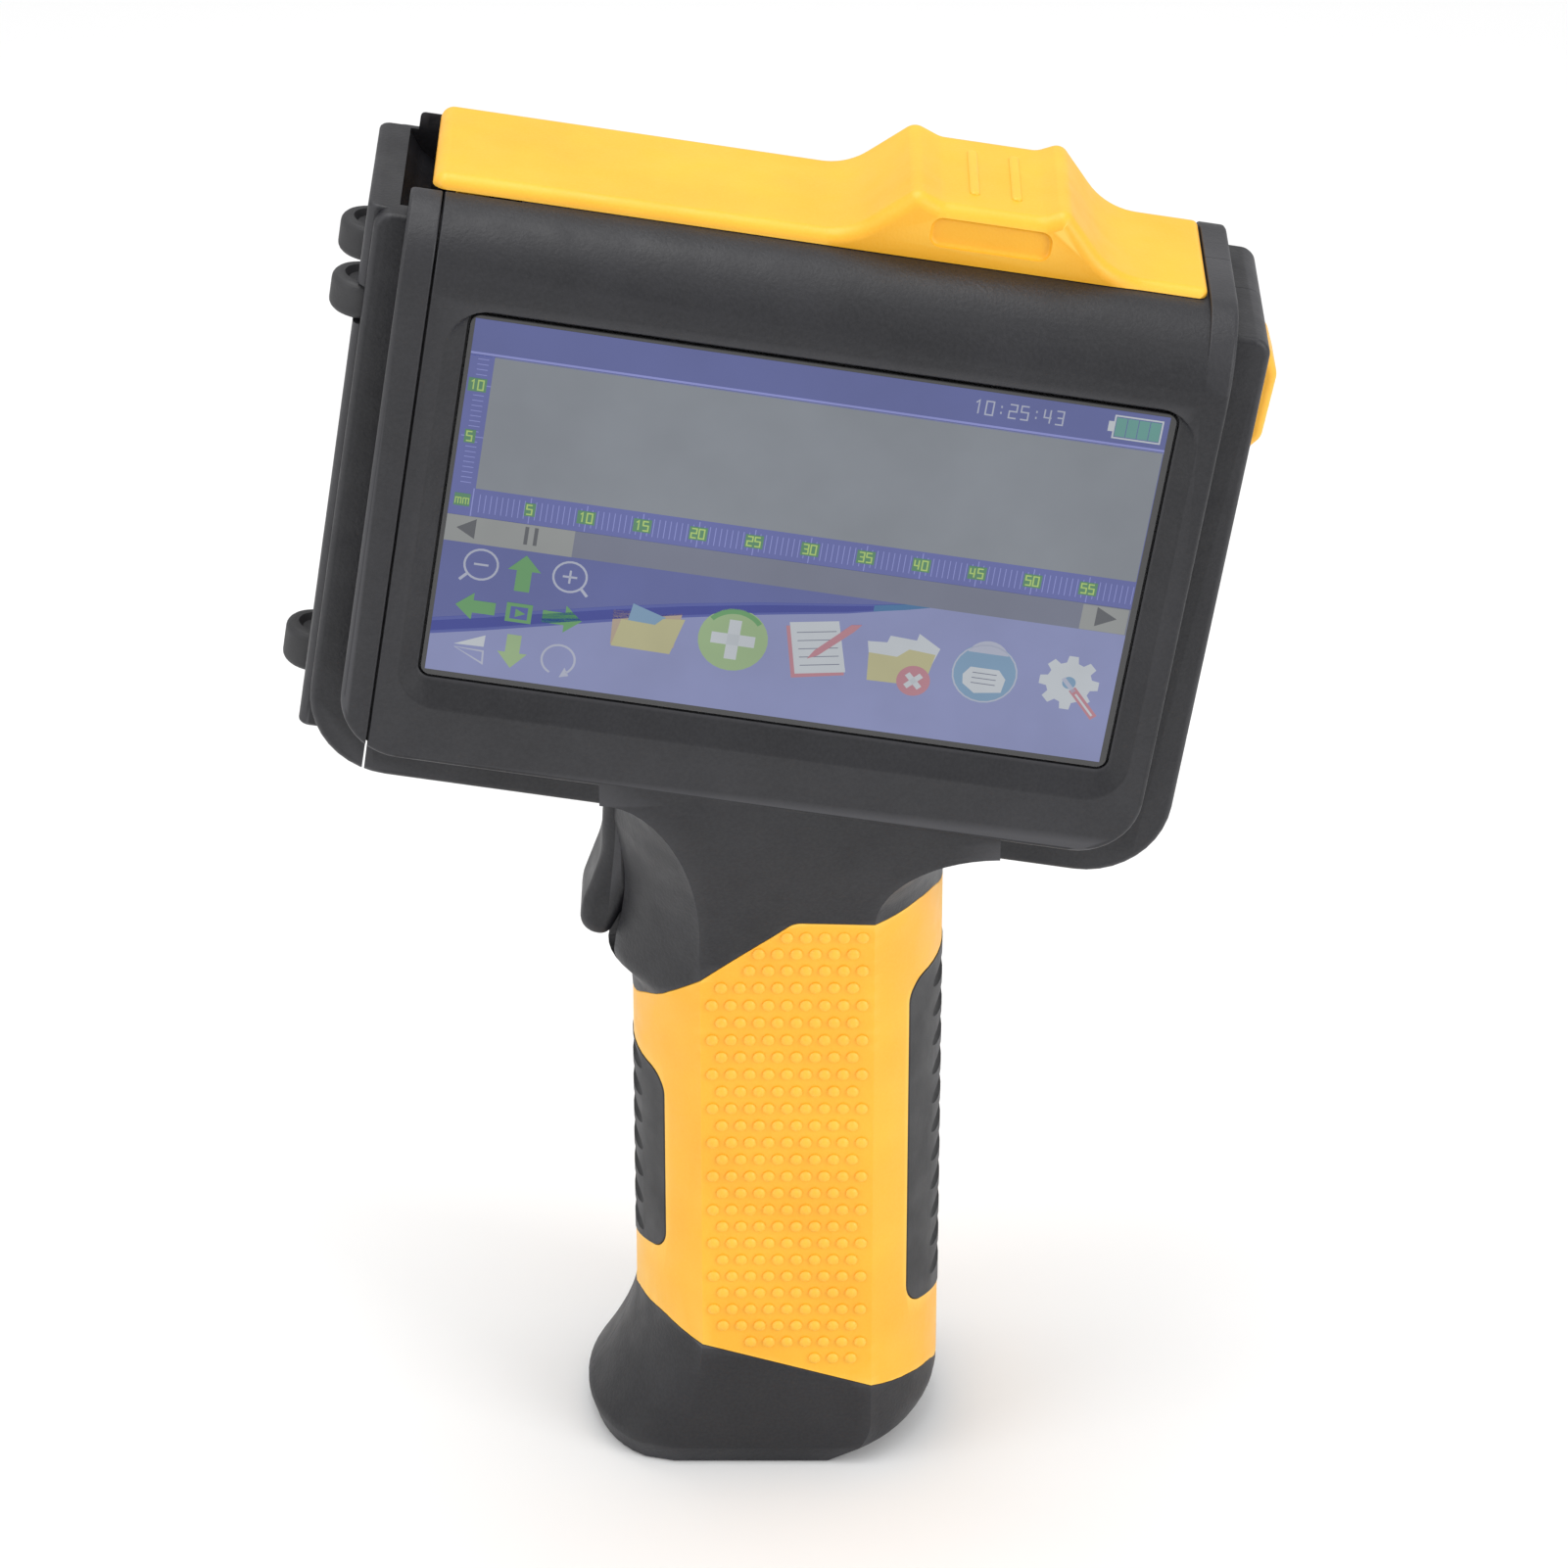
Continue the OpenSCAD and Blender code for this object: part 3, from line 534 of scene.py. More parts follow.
def casing():
    """Both halves of the casing in one: head, neck and foot, hollowed, with screw posts and openings."""
    lip = [(FRONT, 0, 0), (REAR, 0, 0), (REAR, RIM_Z, 9.9), (FRONT, RIM_Z, 11.3)]
    rim = prism(lip, RIM_X, BULGE_X1, "x", (0.3, 0.6), HEAD, 10)
    outside = join(bulge(JOINT_X + SEAM, BULGE_X1, 0, (0.25, 0.6)), core(JOINT_X + SEAM, FOREVER),
                   rim, handle())
    shell = cut(copy(outside), *hollows())
    posts = [rod((x, z), POST_R, -reach, back - 0.5, "y") for x, z, back, reach in SCREWS]
    posts += [prism([(-22, 97, 0), (-14, 98, 0), (-14, 107, 0), (-24, 107, 0)], y - 1.2, y + 1.2, "y")
              for y in (-8.6, 8.6)]
    shell = join(shell, keep(join(*posts), outside))
    holes = [rod((x, z), SCREW_HEAD_R, back - 4, back + 1, "y") for x, z, back, _ in SCREWS]
    holes += [rod((x, z), SCREW_R, -11, back, "y") for x, z, back, _ in SCREWS]
    skin_zone = cut(zone(0.12), handle(1.6, 2.0, 118.0))
    return cut(shell, skin_zone, trigger_slot(), *holes,
               block((50, -5.4, BUTTON_Z - 8.4), (70, 5.4, BUTTON_Z + 10.2), HEAD),
               block((9, -5, 3.4), (30, 5, 7.2)),
               rod((HINGE_X, HINGE_Z), PIVOT_R, -15.3, 15.3, "y", HEAD),
               rod(PIVOT, PIVOT_R, -9, 9, "y"))


GLASS_W, GLASS_H, GLASS_X, GLASS_Z, GLASS_Y = 96.6, 55.4, 0.2, -0.3, -22.5


def screen_cut():
    """Sloped surround of the screen: narrow at the glass, wider at the front face."""
    clear = 0.3
    x0, x1 = GLASS_X - GLASS_W / 2 - clear, GLASS_X + GLASS_W / 2 + clear
    z0, z1 = GLASS_Z - GLASS_H / 2 - clear, GLASS_Z + GLASS_H / 2 + clear
    # Depth, then left, bottom, right, top and corner radius of the opening there
    rows = [(-15.0, x0, z0, x1, z1, 1.8), (GLASS_Y + 0.15, x0, z0, x1, z1, 1.8),
            (GLASS_Y - 0.1, x0 - 0.3, z0 - 0.6, x1 + 0.5, z1 + 0.2, 2.2),
            (FRONT + 0.2, -50.8, -32.1, 51.3, 28.5, 5.6), (FRONT - 0.05, -51.3, -32.7, 51.8, 28.95, 6.2),
            (FRONT - 1.5, -52.0, -33.4, 52.6, 29.7, 6.8)]
    rings = []
    for y, left, bottom, right, top, radius in rows:
        corners = [(left, bottom, radius), (right, bottom, radius), (right, top, radius), (left, top, radius)]
        rings.append([(p.x, y, p.y) for p in outline(corners)])
    return skin("surround", rings, HEAD)


shell = casing()
piece(cut(half(copy(shell), -1), screen_cut()), "casing_front", "root", "black_plastic", ["front_shell"])
piece(half(shell, 1), "casing_rear", "root", "black_plastic", ["rear_shell"])


# ---- nose cover ------------------------------------------------------------------

# Depth, height and length of the two upper rollers and the lower one
ROLLERS = [(-9.5, UPPER_Z, 5.2), (9.5, UPPER_Z, 5.2), (0.0, LOWER_Z, 6.0)]
POCKET = 5.1                 # half the width of a roller's pocket
PLATE_HALF, PLATE_ROOT = 14.6, -58
WINDOW = [(-8.2, -25, 1.5), (8.2, -25, 1.5), (8.2, 13, 1.5), (-8.2, 13, 1.5)]


def roller_pocket(y, z, h):
    return block((NOSE_X - 2, y - POCKET, z - h / 2 - 0.3),
                 (ROLLER_X + POCKET, y + POCKET, z + h / 2 + 0.3), HEAD, 0.4)


def nose_lap():
    """Tongue behind the parting gap, which keeps light from showing through it."""
    outer, inner = (JOINT_X - 1.6, JOINT_X - SEAM, 1.2), (JOINT_X - 0.6, JOINT_X + 1.1, 2.3)
    middle = (JOINT_X - 3, JOINT_X + 3, 3.0)
    return cut(join(bulge(*outer), core(*outer), bulge(*inner), core(*inner)), bulge(*middle), core(*middle))


def nose():
    """End cover with the print plate, the nozzle window, roller pockets and the trough by the lid."""
    plate = prism([(NOSE_X, -PLATE_HALF, 1.6), (PLATE_ROOT, -PLATE_HALF, 0), (PLATE_ROOT, PLATE_HALF, 0),
                   (NOSE_X, PLATE_HALF, 1.6)], PLATE_Z0, CORE_Z1, "z", (0.6, 0.6), HEAD)
    solid = join(bulge(BULGE_X0, JOINT_X - SEAM, 0, (0.6, 0.25)), core(-FOREVER, JOINT_X - SEAM), plate)
    inside = join(bulge(BULGE_X0 + WALL, JOINT_X + 1, WALL), core(NOSE_X + 2, JOINT_X + 1, WALL),
                  block((NOSE_X + 2, -12.4, PLATE_Z0 + 2), (JOINT_X + 1, 12.4, 30), HEAD))
    inside = keep(inside, block((-70, -30, -60), (-50, 30, HINGE_BLOCK_Z0), HEAD))
    solid = cut(solid, inside)
    trough = [(-55.5, 33, 3), (-57.8, 34.6, 4), (-59.5, 37.2, 4), (-60.2, 40.4, 0), (-60.2, 60, 0),
              (-50, 60, 0), (-50, 33, 0)]
    solid = cut(join(solid, nose_lap()), heel_sweep(), prism(trough, -TROUGH, TROUGH, "y", (0, 0), HEAD))
    solid = cut(solid, block((JOINT_X - SEAM, -13.6, 20), (JOINT_X + 3, 13.6, 60), HEAD))
    solid = cut(solid, prism(WINDOW, -70, PLATE_ROOT, "x", (0, 0), HEAD))
    solid = cut(solid, *[roller_pocket(*roller) for roller in ROLLERS])
    return cut(solid, *[rod((ROLLER_X, y), 0.75, z - h / 2 - 2.3, z + h / 2 + 2.3, "z", HEAD)
                        for y, z, h in ROLLERS])


piece(nose(), "nose_housing", "root", "black_plastic", ["nose_cover"])


# ---- lid --------------------------------------------------------------------------

LID_X0, LID_X1, LID_HALF, LID_TOP = -55.6, 50.5, 13.0, 42.4


def lid():
    """Lid with its finger hump, two ribs, a recess in each side and the hinge ears."""
    crest = [(LID_X0, 36, 0.2), (LID_X1, 36, 0.2), (LID_X1, 41.6, 0.9), (37.4, 41.6, 10.0), (29.6, 50.1, 1.8),
             (26.4, 48.5, 3.0), (12.9, 48.5, 3.0), (9.0, 50.0, 2.0), (0.7, 42.4, 9.0), (LID_X0, LID_TOP, 1.8)]
    body = prism(crest, -LID_HALF, LID_HALF, "y", (2.0, 2.0), HEAD, 10, 5)
    body = cut(body, block((-70, -20, 30), (70, 20, TOP_Z + 0.1), HEAD))
    void = [(HINGE_X + 5, 38, 0), (39.5, 38, 0), (39.5, 41.0, 0), (34.5, 43, 0), (30.5, 46.4, 0),
            (7.5, 46.4, 0), (-1, 41, 0), (HINGE_X + 5, 41, 0)]
    body = cut(body, prism(void, -11.2, 11.2, "y", (0, 0), HEAD))
    for side in (-1, 1):
        y = sorted((side * 12.35, side * 16))
        lips = (0.0, 0.62) if side < 0 else (0.62, 0.0)
        pad = [(11.6, 42.6, 1.6), (28.2, 42.6, 1.6), (28.2, 46.9, 1.6), (11.6, 46.9, 1.6)]
        body = cut(body, prism(pad, y[0], y[1], "y", lips, HEAD, 8, 4))
    for y in (-8.5, 8.5):
        ear = join(rod((HINGE_X, HINGE_Z), 2.3, y - 1.5, y + 1.5, "y", HEAD, (0.3, 0.3)),
                   block((HINGE_X - 2.2, y - 1.5, HINGE_Z), (HINGE_X + 2.2, y + 1.5, 41.5), HEAD))
        body = join(body, ear)
    body = cut(body, rod((HINGE_X, HINGE_Z), 1.05, -12, 12, "y", HEAD))
    ribs = [prism([(x - 0.75, -7.5, 0.7), (x + 0.75, -7.5, 0.7), (x + 0.75, 7.5, 0.7), (x - 0.75, 7.5, 0.7)],
                  47.4, 48.85, "z", (0, 0.45), HEAD) for x in (17.2, 23.0)]
    return join(body, *ribs)


piece(lid(), "cartridge_lid", "lid", "yellow_plastic", ["lid"])


# ---- grip shells and pads -----------------------------------------------------------

# For the finger side (-1) and the palm side (+1): half width, heights of the tip, the lower corners
# and the top, and the lower corners' radius
PADS = {-1: (14.5, 30.4, 35.2, 65.2, 4.2), 1: (14.8, 21.0, 25.6, 81.0, 4.6)}


def pad_window(side, grow):
    """Outline of a pad, pointed at its lower end, pushed through its flank of the grip."""
    half_width, tip, z0, z1, radius = PADS[side]
    corners = [(0, tip, 9), (half_width, z0, radius), (half_width, z1, 3.4), (-half_width, z1, 3.4),
               (-half_width, z0, radius)]
    x = sorted((side * 11.0, side * 40.0))
    return prism(corners_grown(corners, grow), x[0], x[1], "x")


def grip_skin():
    """Both coloured grip shells in one, with windows for the pads and the trigger."""
    solid = keep(handle(), zone(0.0))
    return cut(solid, handle(1.55, 2.0, 118.0), pad_window(-1, 0.12), pad_window(1, 0.12), trigger_slot())


def side_pad(side, pitch, first, count):
    """Rubber pad let into the grip, with a row of lens-shaped finger notches across its face."""
    solid = keep(handle(-0.12, 10.0, 90.0), pad_window(side, 0.0))
    solid = cut(solid, handle(1.6, 9.0, 91.0))
    for i in range(count):
        solid = cut(solid, notch(side, first + pitch * i))
    return solid


NOTCH_HALF, NOTCH_DEPTH, NOTCH_RISE = 8.6, 1.3, 1.75


def notch(side, z):
    """Lens-shaped cutter lying across the pad's crown, with steep lips."""
    rings = []
    for k in range(17):
        t = math.sin(math.pi / 2 * (k / 8 - 1))
        swell = math.sqrt(max(1 - t * t, 0.0)) + 0.01
        y = NOTCH_HALF * t
        x = math.sqrt(ARC_R ** 2 - y * y) - ARC_C + 0.2
        rings.append([(side * (x + NOTCH_DEPTH * swell * math.cos(a)), y, z + NOTCH_RISE * swell * math.sin(a))
                      for a in [2 * math.pi * j / 20 for j in range(20)]])
    return skin("notch", rings)


DOT_R, DOT_H, DOT_PITCH_X, DOT_PITCH_Z, DOT_TOP_Z, DOT_ROWS = 0.95, 0.65, 2.7, 2.905, 92.1, 26
DOT_ROOT, DOT_SIDES, DOT_LEVELS = 0.25, 14, 4


def dot_cells():
    """Places of the raised grip dots: staggered rows of nine and eight, cut short by the slanting ends."""
    first_column = {0: 4, 1: 2, 2: 2, DOT_ROWS - 2: 2, DOT_ROWS - 1: 5}
    for row in range(DOT_ROWS):
        odd = row % 2
        for column in range(first_column.get(row, 0), 9 - odd):
            yield DOT_PITCH_X * (column - 4 + odd / 2), DOT_TOP_Z - DOT_PITCH_Z * row


def dots(side):
    """Shallow domes that stand on the flat grip panel."""
    bm = bmesh.new()
    for x, z in dot_cells():
        y = -front_depth(z) if side < 0 else REAR - DOT_H
        rows = []
        for k in range(DOT_LEVELS):
            a = math.pi / 2 * k / DOT_LEVELS
            radius = DOT_R * math.cos(a)
            out = side * (DOT_H * math.sin(a) if k else -DOT_ROOT)
            ring = [(x + radius * math.cos(b), y + out, z + radius * math.sin(b))
                    for b in [2 * math.pi * j / DOT_SIDES for j in range(DOT_SIDES)]]
            rows.append([bm.verts.new(Vector(place) * MM) for place in ring])
        crown = bm.verts.new(Vector((x, y + side * DOT_H, z)) * MM)
        for j in range(DOT_SIDES):
            after = (j + 1) % DOT_SIDES
            for low, high in zip(rows, rows[1:]):
                bm.faces.new((low[j], low[after], high[after], high[j]))
            bm.faces.new((rows[-1][j], rows[-1][after], crown))
        bm.faces.new(rows[0])
    return to_object("dots", bm)


skin_solid = grip_skin()
for side, name, node in ((-1, "grip_shell_front", "grip_front"), (1, "grip_shell_rear", "grip_rear")):
    shell_half = cut(half(copy(skin_solid), side), block((-40, REAR - DOT_H, 0), (40, REAR + 1, 120)))
    shell_half = join(shell_half, dots(side))
    piece(shell_half, name, "root", "yellow_plastic", [node], crease=28.0)
bpy.data.objects.remove(skin_solid)
piece(side_pad(-1, 4.7, 34.9, 7), "finger_side_pad", "root", "rubber", ["finger_pad"])
piece(side_pad(1, 5.0, 27.0, 11), "palm_side_pad", "root", "rubber", ["palm_pad"])


# ---- trigger and power button ----------------------------------------------------------


def trigger():
    """Blade that the finger pulls, with the lever that swings on the pin."""
    blade = [(-22, 109.9, 0.5), (-26.2, 110.5, 0.6), (-26.9, 96.6, 12), (-29.8, 88.6, 9), (-30.3, 84.3, 2.8),
             (-26.0, 83.5, 2), (-24.2, 87, 2), (-22, 92, 2)]
    solid = prism(blade, -6.5, 6.5, "y", (1.9, 1.9), steps=8, lip_steps=5)
    lever = [(-24, 103, 0), (-23, 90, 0), (-19, 94, 0), (-15, 99, 0), (-15, 104, 0)]
    solid = join(solid, prism(lever, -3, 3, "y", (0.3, 0.3)))
    return cut(solid, rod(PIVOT, PIVOT_R + 0.03, -4, 4, "y"))


piece(trigger(), "trigger_blade", "trigger", "black_plastic", ["trigger"])


def power_button():
    """Key with a sloped face, held in the casing by its flange."""
    side_view = [(57, BUTTON_Z - 8, 0), (60.4, BUTTON_Z - 8, 0.9), (63.1, BUTTON_Z - 4.6, 2.4),
                 (63.4, BUTTON_Z + 5.2, 3.4), (61.4, BUTTON_Z + 9.8, 2.2), (57, BUTTON_Z + 9.8, 0)]
    cap = prism(side_view, -5, 5, "y", (1.2, 1.2), HEAD, 8, 4)
    flange = block((55.6, -6.2, BUTTON_Z - 9), (57.2, 6.2, BUTTON_Z + 11), HEAD, 0.3)
    return join(cap, flange)


piece(power_button(), "power_key", "power_button", "yellow_plastic", ["power_button"])


# ---- cover glass and lit display -----------------------------------------------------

GLASS_BACK = -21.4
LIT = (-47.4, -27.0, 47.5, 26.8)     # left, bottom, right and top of the lit area
SCREEN_LIGHT = 0.73


def cover_glass():
    x0, x1 = GLASS_X - GLASS_W / 2, GLASS_X + GLASS_W / 2
    z0, z1 = GLASS_Z - GLASS_H / 2, GLASS_Z + GLASS_H / 2
    return prism([(x0, z0, 1.5), (x1, z0, 1.5), (x1, z1, 1.5), (x0, z1, 1.5)], GLASS_Y, GLASS_BACK, "y",
                 (0.25, 0), HEAD)


piece(cover_glass(), "cover_plate", "root", "screen_glass", ["cover_glass"])

# Colours of the lit image, as 8-bit sRGB
INKS = {"wallpaper": (90, 99, 160), "lower_sky": (137, 144, 190), "streak_edge": (76, 88, 165),
        "streak": (44, 58, 150), "teal": (58, 112, 160), "canvas": (134, 140, 148),
        "ruler_band": (96, 104, 170), "track": (116, 121, 140), "thumb": (150, 153, 152),
        "lines": (142, 148, 212), "patch": (84, 138, 100), "digits": (176, 206, 112),
        "green": (98, 158, 98), "pale_green": (152, 180, 132), "pale": (176, 181, 200),
        "white": (196, 202, 208), "dark": (88, 91, 96), "yellow": (186, 182, 138), "tan": (178, 160, 140),
        "red": (186, 128, 140), "aqua": (122, 156, 186), "cells": (96, 156, 148)}
LAYER = 0.022        # how far each level of the image stands in front of the one below it
# Strokes of the digits, on a grid one unit wide and two high
SEGMENTS = {"0": [[(0, 0), (0, 2), (1, 2), (1, 0), (0, 0)]],
            "1": [[(0.2, 1.6), (0.6, 2), (0.6, 0)]],
            "2": [[(0, 2), (1, 2), (1, 1), (0, 1), (0, 0), (1, 0)]],
            "3": [[(0, 2), (1, 2), (1, 0), (0, 0)], [(0.2, 1), (1, 1)]],
            "4": [[(0, 2), (0, 0.8), (1, 0.8)], [(0.8, 2), (0.8, 0)]],
            "5": [[(1, 2), (0, 2), (0, 1.1), (1, 1.1), (1, 0), (0, 0)]],
            "m": [[(0, 0), (0, 1.3), (0.5, 1.3), (0.5, 0)], [(0.5, 1.3), (1, 1.3), (1, 0)]],
            ":": [[(0.5, 0.4), (0.5, 0.7)], [(0.5, 1.3), (0.5, 1.6)]]}
drawing = {ink: bmesh.new() for ink in INKS}


def fill(ink, level, points):
    """Filled flat shape, on one of the thin levels in front of the glass."""
    bm = drawing[ink]
    levels = (GLASS_Y + 0.1, GLASS_Y - LAYER * level)
    back, face = [[bm.verts.new(HEAD @ Vector((x, y, z)) * MM) for x, z in points] for y in levels]
    for i in range(len(points)):
        j = (i + 1) % len(points)
        bm.faces.new((back[i], back[j], face[j], face[i]))
    bm.faces.new(back)
    bm.faces.new(face)


def box(ink, level, x0, z0, x1, z1):
    fill(ink, level, [(x0, z0), (x1, z0), (x1, z1), (x0, z1)])


def disc(ink, level, x, z, radius, steps=28):
    fill(ink, level, arc(x, z, radius, 0, 360 - 360 / steps, steps - 1))


def arc(x, z, radius, start, end, steps=24):
    """Points of an arc between two angles in degrees."""
    turns = [math.radians(start + (end - start) * k / steps) for k in range(steps + 1)]
    return [(x + radius * math.cos(a), z + radius * math.sin(a)) for a in turns]


def stroke(ink, level, path, width=0.26):
    """Line of even width along a path; a path that ends where it starts is closed."""
    closed = path[0] == path[-1]
    points = [Vector(p) for p in (path[:-1] if closed else path)]
    sides = ([], [])
    for i, here in enumerate(points):
        before = points[i - 1] if closed or i else here * 2 - points[1]
        after = points[(i + 1) % len(points)] if closed or i < len(points) - 1 else here * 2 - points[-2]
        a, b = (here - before).normalized(), (after - here).normalized()
        na, nb = Vector((-a.y, a.x)), Vector((-b.y, b.x))
        step = (na + nb) * (width / 2) / max(1 + na.dot(nb), 0.4)
        sides[0].append(here + step)
        sides[1].append(here - step)
    if not closed:
        fill(ink, level, [tuple(p) for p in sides[0]] + [tuple(p) for p in sides[1][::-1]])
        return
    count = len(points)
    for i in range(count):
        j = (i + 1) % count
        fill(ink, level, [tuple(p) for p in (sides[0][i], sides[0][j], sides[1][j], sides[1][i])])


def write(ink, level, x, z, marks, height, width, gap, line):
    """Row of segment digits from its lower left corner."""
    for k, mark in enumerate(marks):
        for path in SEGMENTS[mark]:
            points = [(x + k * (width + gap) + u * width, z + v * height / 2) for u, v in path]
            stroke(ink, level, points, line)


def arrow(ink, x, z, heading, length, half_head, half_stem):
    """Block arrow with its tip at (x, z)."""
    c, s = math.cos(math.radians(heading)), math.sin(math.radians(heading))
    shape = [(0, 0), (-2.4, half_head), (-2.4, half_stem), (-length, half_stem), (-length, -half_stem),
             (-2.4, -half_stem), (-2.4, -half_head)]
    fill(ink, 4, [(x + u * c - v * s, z + u * s + v * c) for u, v in shape])


def swoosh(ink, level, points, above, below, end):
    """Band that follows a rising curve and thins out to its end."""
    rows = [(x, z, 1 - (k / (len(points) - 1)) ** 3) for k, (x, z) in enumerate(points)]
    top = [(x, z + above * t) for x, z, t in rows]
    bottom = [(x, z - below * t) for x, z, t in rows]
    fill(ink, level, bottom + [end] + top[::-1])


RULE_X, RULE_Z, RULE_MM = -44.07, 1.55, 1.548     # the rulers' zero, and one of their units
RULE_TOP, BAR_TOP = 21.45, -2.7
# Course of the streak across the wallpaper
WAVE = [(-47.4, -20.2), (-40, -18.6), (-33.3, -17.0), (-23, -14.6), (-13.2, -12.5), (-3, -10.6), (9.1, -8.7),
        (15, -7.6), (20, -6.7)]


def ground():
    """Wallpaper with its streak, the empty canvas and the bands that carry the rulers."""
    box("wallpaper", 1, *LIT)
    fill("lower_sky", 2, [(LIT[0], LIT[1]), (LIT[2], LIT[1]), (LIT[2], -5.8), (26, -5.8)] + WAVE[::-1])
    swoosh("streak_edge", 3, WAVE, 1.25, 1.25, (26, -5.6))
    swoosh("streak", 4, WAVE, 0.75, 0.8, (24, -6.0))
    swoosh("teal", 5, [(12.5, -8.1), (17, -7.2), (22, -6.3)], 0.5, 0.45, (26, -5.7))
    box("canvas", 2, RULE_X, RULE_Z, LIT[2] - 0.1, RULE_TOP)
    box("ruler_band", 2, LIT[0], BAR_TOP, LIT[2], RULE_Z)
    box("ruler_band", 2, LIT[0], RULE_Z, RULE_X, RULE_TOP)
    box("lines", 3, LIT[0], 21.6, LIT[2], 21.9)
    box("lines", 2, LIT[0], 21.3, LIT[2], RULE_TOP)
    stroke("lines", 3, [(RULE_X - 0.2, BAR_TOP), (RULE_X - 0.2, RULE_Z)], 0.16)


def ruler_mark(x, z, marks):
    """Number on its patch, centred on a long tick."""
    half_patch = 0.75 + 0.5 * (len(marks) - 1)
    box("patch", 4, x - half_patch, z - 1.0, x + half_patch, z + 1.0)
    write("digits", 5, x - half_patch + 0.3, z - 0.7, marks, 1.4, 0.72, 0.34, 0.2)


def rulers():
    for k in range(1, 119):
        x = RULE_X + RULE_MM * k / 2
        if k % 10:
            stroke("lines", 3, [(x, -2.0), (x, 0.75)], 0.11)
            continue
        stroke("lines", 3, [(x, -2.6), (x, 1.3)], 0.13)
        ruler_mark(x, -0.5, str(k // 2))
    for k in range(1, 26):
        z = RULE_Z + RULE_MM * k / 2
        if k % 10:
            stroke("lines", 3, [(-46.3, z), (-44.8, z)], 0.11)
            continue
        stroke("lines", 3, [(-47.1, z), (RULE_X, z)], 0.13)
        ruler_mark(-45.9, z, str(k // 2))
    box("patch", 4, -46.8, -1.3, -44.6, 0.6)
    write("digits", 5, -46.6, -1.0, "mm", 1.4, 0.75, 0.3, 0.14)


def scroll_bar():
    box("track", 6, LIT[0], -6.75, LIT[2], -2.75)
    box("thumb", 7, LIT[0], -6.75, -29.75, -2.75)
    box("thumb", 7, 40.9, -6.7, 47.3, -2.85)
    fill("dark", 8, [(-45.9, -4.6), (-43.3, -6.05), (-43.3, -3.0)])
    fill("dark", 8, [(45.8, -4.5), (42.9, -3.0), (42.9, -6.0)])
    for x in (-36.3, -35.0):
        box("dark", 8, x - 0.26, -5.8, x + 0.26, -3.1)


def pointer_pad():
    """Zoom, move, flip and turn symbols at the lower left."""
    for x, sign in ((-41.8, -1), (-29.5, 1)):
        stroke("pale", 4, arc(x, -9.85, 2.3, 0, 360), 0.3)
        stroke("pale", 4, [(x + sign * 1.75, -11.45), (x + sign * 2.7, -12.5)], 0.4)
        stroke("pale", 4, [(x - 1.0, -9.85), (x + 1.0, -9.85)], 0.3)
    stroke("pale", 4, [(-29.5, -10.85), (-29.5, -8.85)], 0.3)
    arrow("green", -35.8, -7.5, 90, 5.6, 2.27, 1.05)
    arrow("green", -44.5, -16.4, 180, 5.5, 2.1, 0.95)
    arrow("green", -26.95, -16.4, 0, 5.5, 2.1, 0.95)
    arrow("pale_green", -35.8, -25.1, 270, 5.2, 2.05, 1.0)
    box("green", 5, -37.5, -17.9, -33.9, -15.0)
    box("streak_edge", 6, -36.9, -17.4, -34.5, -15.5)
    fill("green", 7, [(-36.2, -17.1), (-34.8, -16.45), (-36.2, -15.8)])
    fill("white", 4, [(-43.9, -22.5), (-39.8, -22.4), (-39.75, -20.6)])
    stroke("pale", 4, [(-43.8, -22.95), (-39.8, -23.1), (-39.7, -25.0), (-43.8, -22.95)], 0.26)
    stroke("pale", 4, arc(-29.35, -22.8, 2.3, -55, 245), 0.3)
    fill("pale", 4, [(-28.9, -25.5), (-27.6, -25.1), (-28.3, -23.9)])


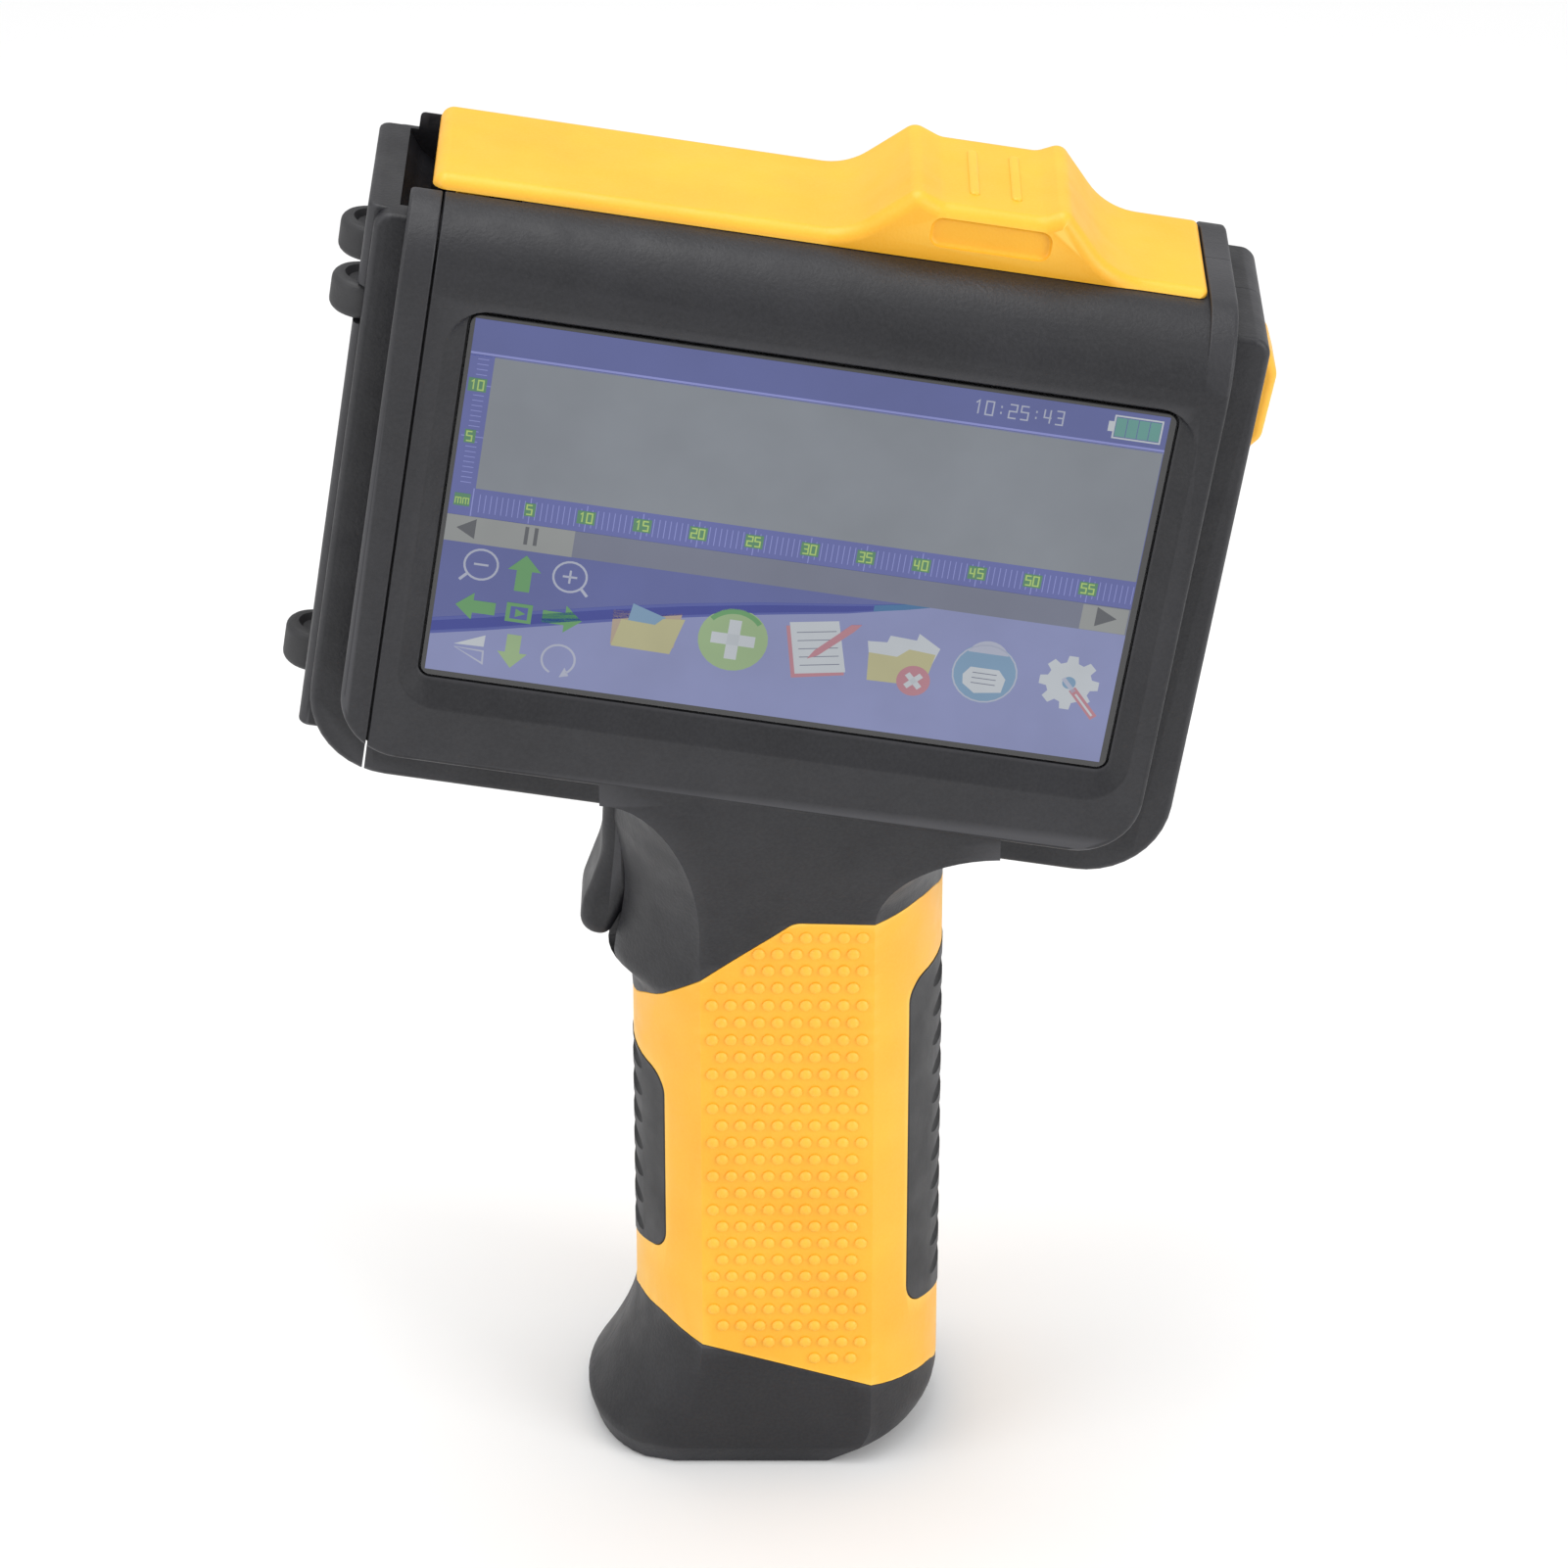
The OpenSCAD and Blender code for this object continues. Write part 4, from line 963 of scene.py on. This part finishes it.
def icons():
    """Six large symbols: folder, plus, note, folder with a cross, printer and gear."""
    fill("tan", 4, [(-22.6, -19.2), (-22.9, -13.9), (-20.2, -13.7), (-19.2, -14.3), (-13.4, -13.0),
                    (-13.9, -18.5)])
    fill("aqua", 5, [(-20.9, -16.4), (-20.3, -12.5), (-15.6, -14.0), (-16.2, -16.6)])
    fill("yellow", 6, [(-22.5, -19.4), (-21.6, -15.1), (-16.9, -15.3), (-15.9, -14.2), (-12.9, -13.9),
                       (-14.3, -19.5)])
    disc("pale_green", 4, -5.95, -15.9, 4.85)
    stroke("green", 5, arc(-5.95, -15.9, 4.35, 40, 140), 0.7)
    box("white", 6, -9.0, -16.75, -2.9, -15.05)
    box("white", 6, -6.8, -18.95, -5.1, -12.85)
    fill("red", 4, [(1.0, -12.6), (8.0, -11.3), (10.1, -19.0), (2.9, -20.5)])
    fill("white", 5, [(1.4, -12.0), (8.1, -10.8), (10.2, -18.5), (3.3, -19.8)])
    for k in range(5):
        stroke("track", 6, [(2.6 + 0.3 * k, -13.4 - 1.25 * k), (8.0 + 0.3 * k, -12.4 - 1.25 * k)], 0.12)
    fill("red", 7, [(4.6, -17.2), (5.4, -15.8), (9.9, -11.1), (11.3, -10.9), (10.4, -12.1), (6.0, -16.5)])
    fill("white", 4, [(13.0, -15.4), (12.5, -13.2), (15.2, -13.0), (15.5, -11.9), (19.2, -12.1), (19.4, -11.0),
                      (22.6, -12.9), (21.7, -16.0)])
    fill("yellow", 5, [(13.3, -19.2), (12.9, -14.9), (16.9, -15.0), (18.4, -13.6), (22.1, -13.9),
                       (21.3, -19.0)])
    disc("red", 6, 19.7, -18.35, 2.35)
    for turn in (45, 135):
        a = math.radians(turn)
        stroke("white", 7, [(19.7 - 1.4 * math.cos(a), -18.35 - 1.4 * math.sin(a)),
                            (19.7 + 1.4 * math.cos(a), -18.35 + 1.4 * math.sin(a))], 0.8)
    disc("aqua", 4, 29.3, -15.7, 4.6)
    stroke("pale", 5, arc(29.3, -15.7, 4.45, 0, 360), 0.22)
    fill("pale", 5, arc(29.3, -13.6, 3.0, 20, 160, 10))
    fill("white", 6, [(26.3, -16.2), (27.2, -14.9), (31.2, -14.9), (32.3, -16.2), (32.0, -18.3),
                      (28.3, -18.9), (26.5, -17.6)])
    for z in (-15.7, -16.5, -17.3):
        stroke("track", 7, [(27.6, z), (31.0, z)], 0.12)
    teeth = []
    for k in range(8):
        for offset, radius in ((-15, 3.2), (-9, 4.2), (9, 4.2), (15, 3.2)):
            a = math.radians(45 * k + offset)
            teeth.append((41.1 + radius * math.cos(a), -15.3 + radius * math.sin(a)))
    fill("white", 4, teeth)
    disc("aqua", 5, 41.1, -15.3, 0.95, 18)
    stroke("pale", 6, [(40.2, -14.7), (42.0, -16.6)], 0.6)
    stroke("red", 6, [(41.7, -16.2), (45.4, -20.2)], 1.1)
    stroke("white", 7, [(42.3, -16.9), (45.1, -19.9)], 0.3)


def status_row():
    """Clock and battery sign in the top band."""
    write("pale", 3, 20.9, 23.4, "10:25:43", 2.0, 1.0, 0.6, 0.2)
    stroke("white", 3, [(40.1, 22.7), (46.6, 22.7), (46.6, 26.0), (40.1, 26.0), (40.1, 22.7)], 0.22)
    box("white", 3, 39.3, 23.6, 40.0, 25.1)
    for k in range(4):
        box("cells", 3, 40.3 + 1.56 * k, 22.95, 41.75 + 1.56 * k, 25.75)


def lit_image(ink, colour):
    """Back-lit colour seen through the glass, with slow unevenness and the panel's fine pixel grain."""
    linear = [((c / 255 + 0.055) / 1.055) ** 2.4 for c in colour]
    low, high = [tuple(share * c for c in linear) for share in (0.93, 1.07)]
    material, tree, shader = new_material("display_" + ink)
    shade = ramp(tree, noise(tree, 60.0, 3.0), [(0.3, low), (0.7, high)])
    tree.links.new(shade, shader.inputs["Emission Color"])
    shader.inputs["Base Color"].default_value = (0.006, 0.006, 0.008, 1.0)
    shader.inputs["Emission Strength"].default_value = SCREEN_LIGHT
    tree.links.new(spread(tree, noise(tree, 160.0, 2.0), 0.08, 0.14), shader.inputs["Roughness"])
    bump(tree, [(noise(tree, 5000.0, 1.0), 0.000003, 0.25)], shader)
    return material


for draw in (ground, rulers, scroll_bar, pointer_pad, icons, status_row):
    draw()
for ink, bm in drawing.items():
    image = to_object("lit", bm)
    image.data.materials.append(lit_image(ink, INKS[ink]))
    image.name = image.data.name = "display_" + ink
    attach(image, "root")


# ---- camera, light and floor ---------------------------------------------------

EYE, EYE_TURN, LENS = (-0.00045, -0.75371, 0.52345), 61.0, 137.16
LIGHT_TARGET, WORLD_LIGHT = (0, 0, 0.12), 0.70


def camera():
    """Long lens, looking down at the screen side."""
    data = bpy.data.cameras.new("camera")
    data.sensor_width = 36.0
    data.lens = LENS
    data.clip_end = 20.0
    view = bpy.data.objects.new("camera", data)
    view.location = EYE
    view.rotation_euler = (math.radians(EYE_TURN), 0.0, 0.0)
    bpy.context.collection.objects.link(view)
    bpy.context.scene.camera = view


def area_light(name, place, size, power):
    data = bpy.data.lights.new(name, "AREA")
    data.shape = "RECTANGLE"
    data.size, data.size_y = size
    data.energy = power
    lamp = bpy.data.objects.new(name, data)
    lamp.location = place
    lamp.rotation_euler = (Vector(LIGHT_TARGET) - Vector(place)).to_track_quat("-Z", "Y").to_euler()
    bpy.context.collection.objects.link(lamp)


def studio():
    """White floor and world, with a soft light above and one on each side."""
    mesh = bpy.data.meshes.new("floor")
    mesh.from_pydata([(-6, -6, 0), (6, -6, 0), (6, 6, 0), (-6, 6, 0)], [], [(0, 1, 2, 3)])
    floor = bpy.data.objects.new("floor", mesh)
    bpy.context.collection.objects.link(floor)
    material, _, shader = new_material("floor")
    shader.inputs["Base Color"].default_value = (0.92, 0.92, 0.92, 1.0)
    shader.inputs["Roughness"].default_value = 0.8
    mesh.materials.append(material)
    world = bpy.data.worlds.new("world")
    world.use_nodes = True
    background = world.node_tree.nodes["Background"]
    background.inputs["Color"].default_value = (1.0, 1.0, 1.0, 1.0)
    background.inputs["Strength"].default_value = WORLD_LIGHT
    bpy.context.scene.world = world
    area_light("top_light", (-0.1, 0.05, 1.1), (0.9, 0.7), 5.8)
    area_light("left_light", (-0.9, -0.5, 0.5), (0.5, 0.7), 2.2)
    area_light("right_light", (0.9, -0.6, 0.6), (0.5, 0.7), 5.0)
    bpy.context.scene.view_settings.view_transform = "Standard"


camera()
studio()
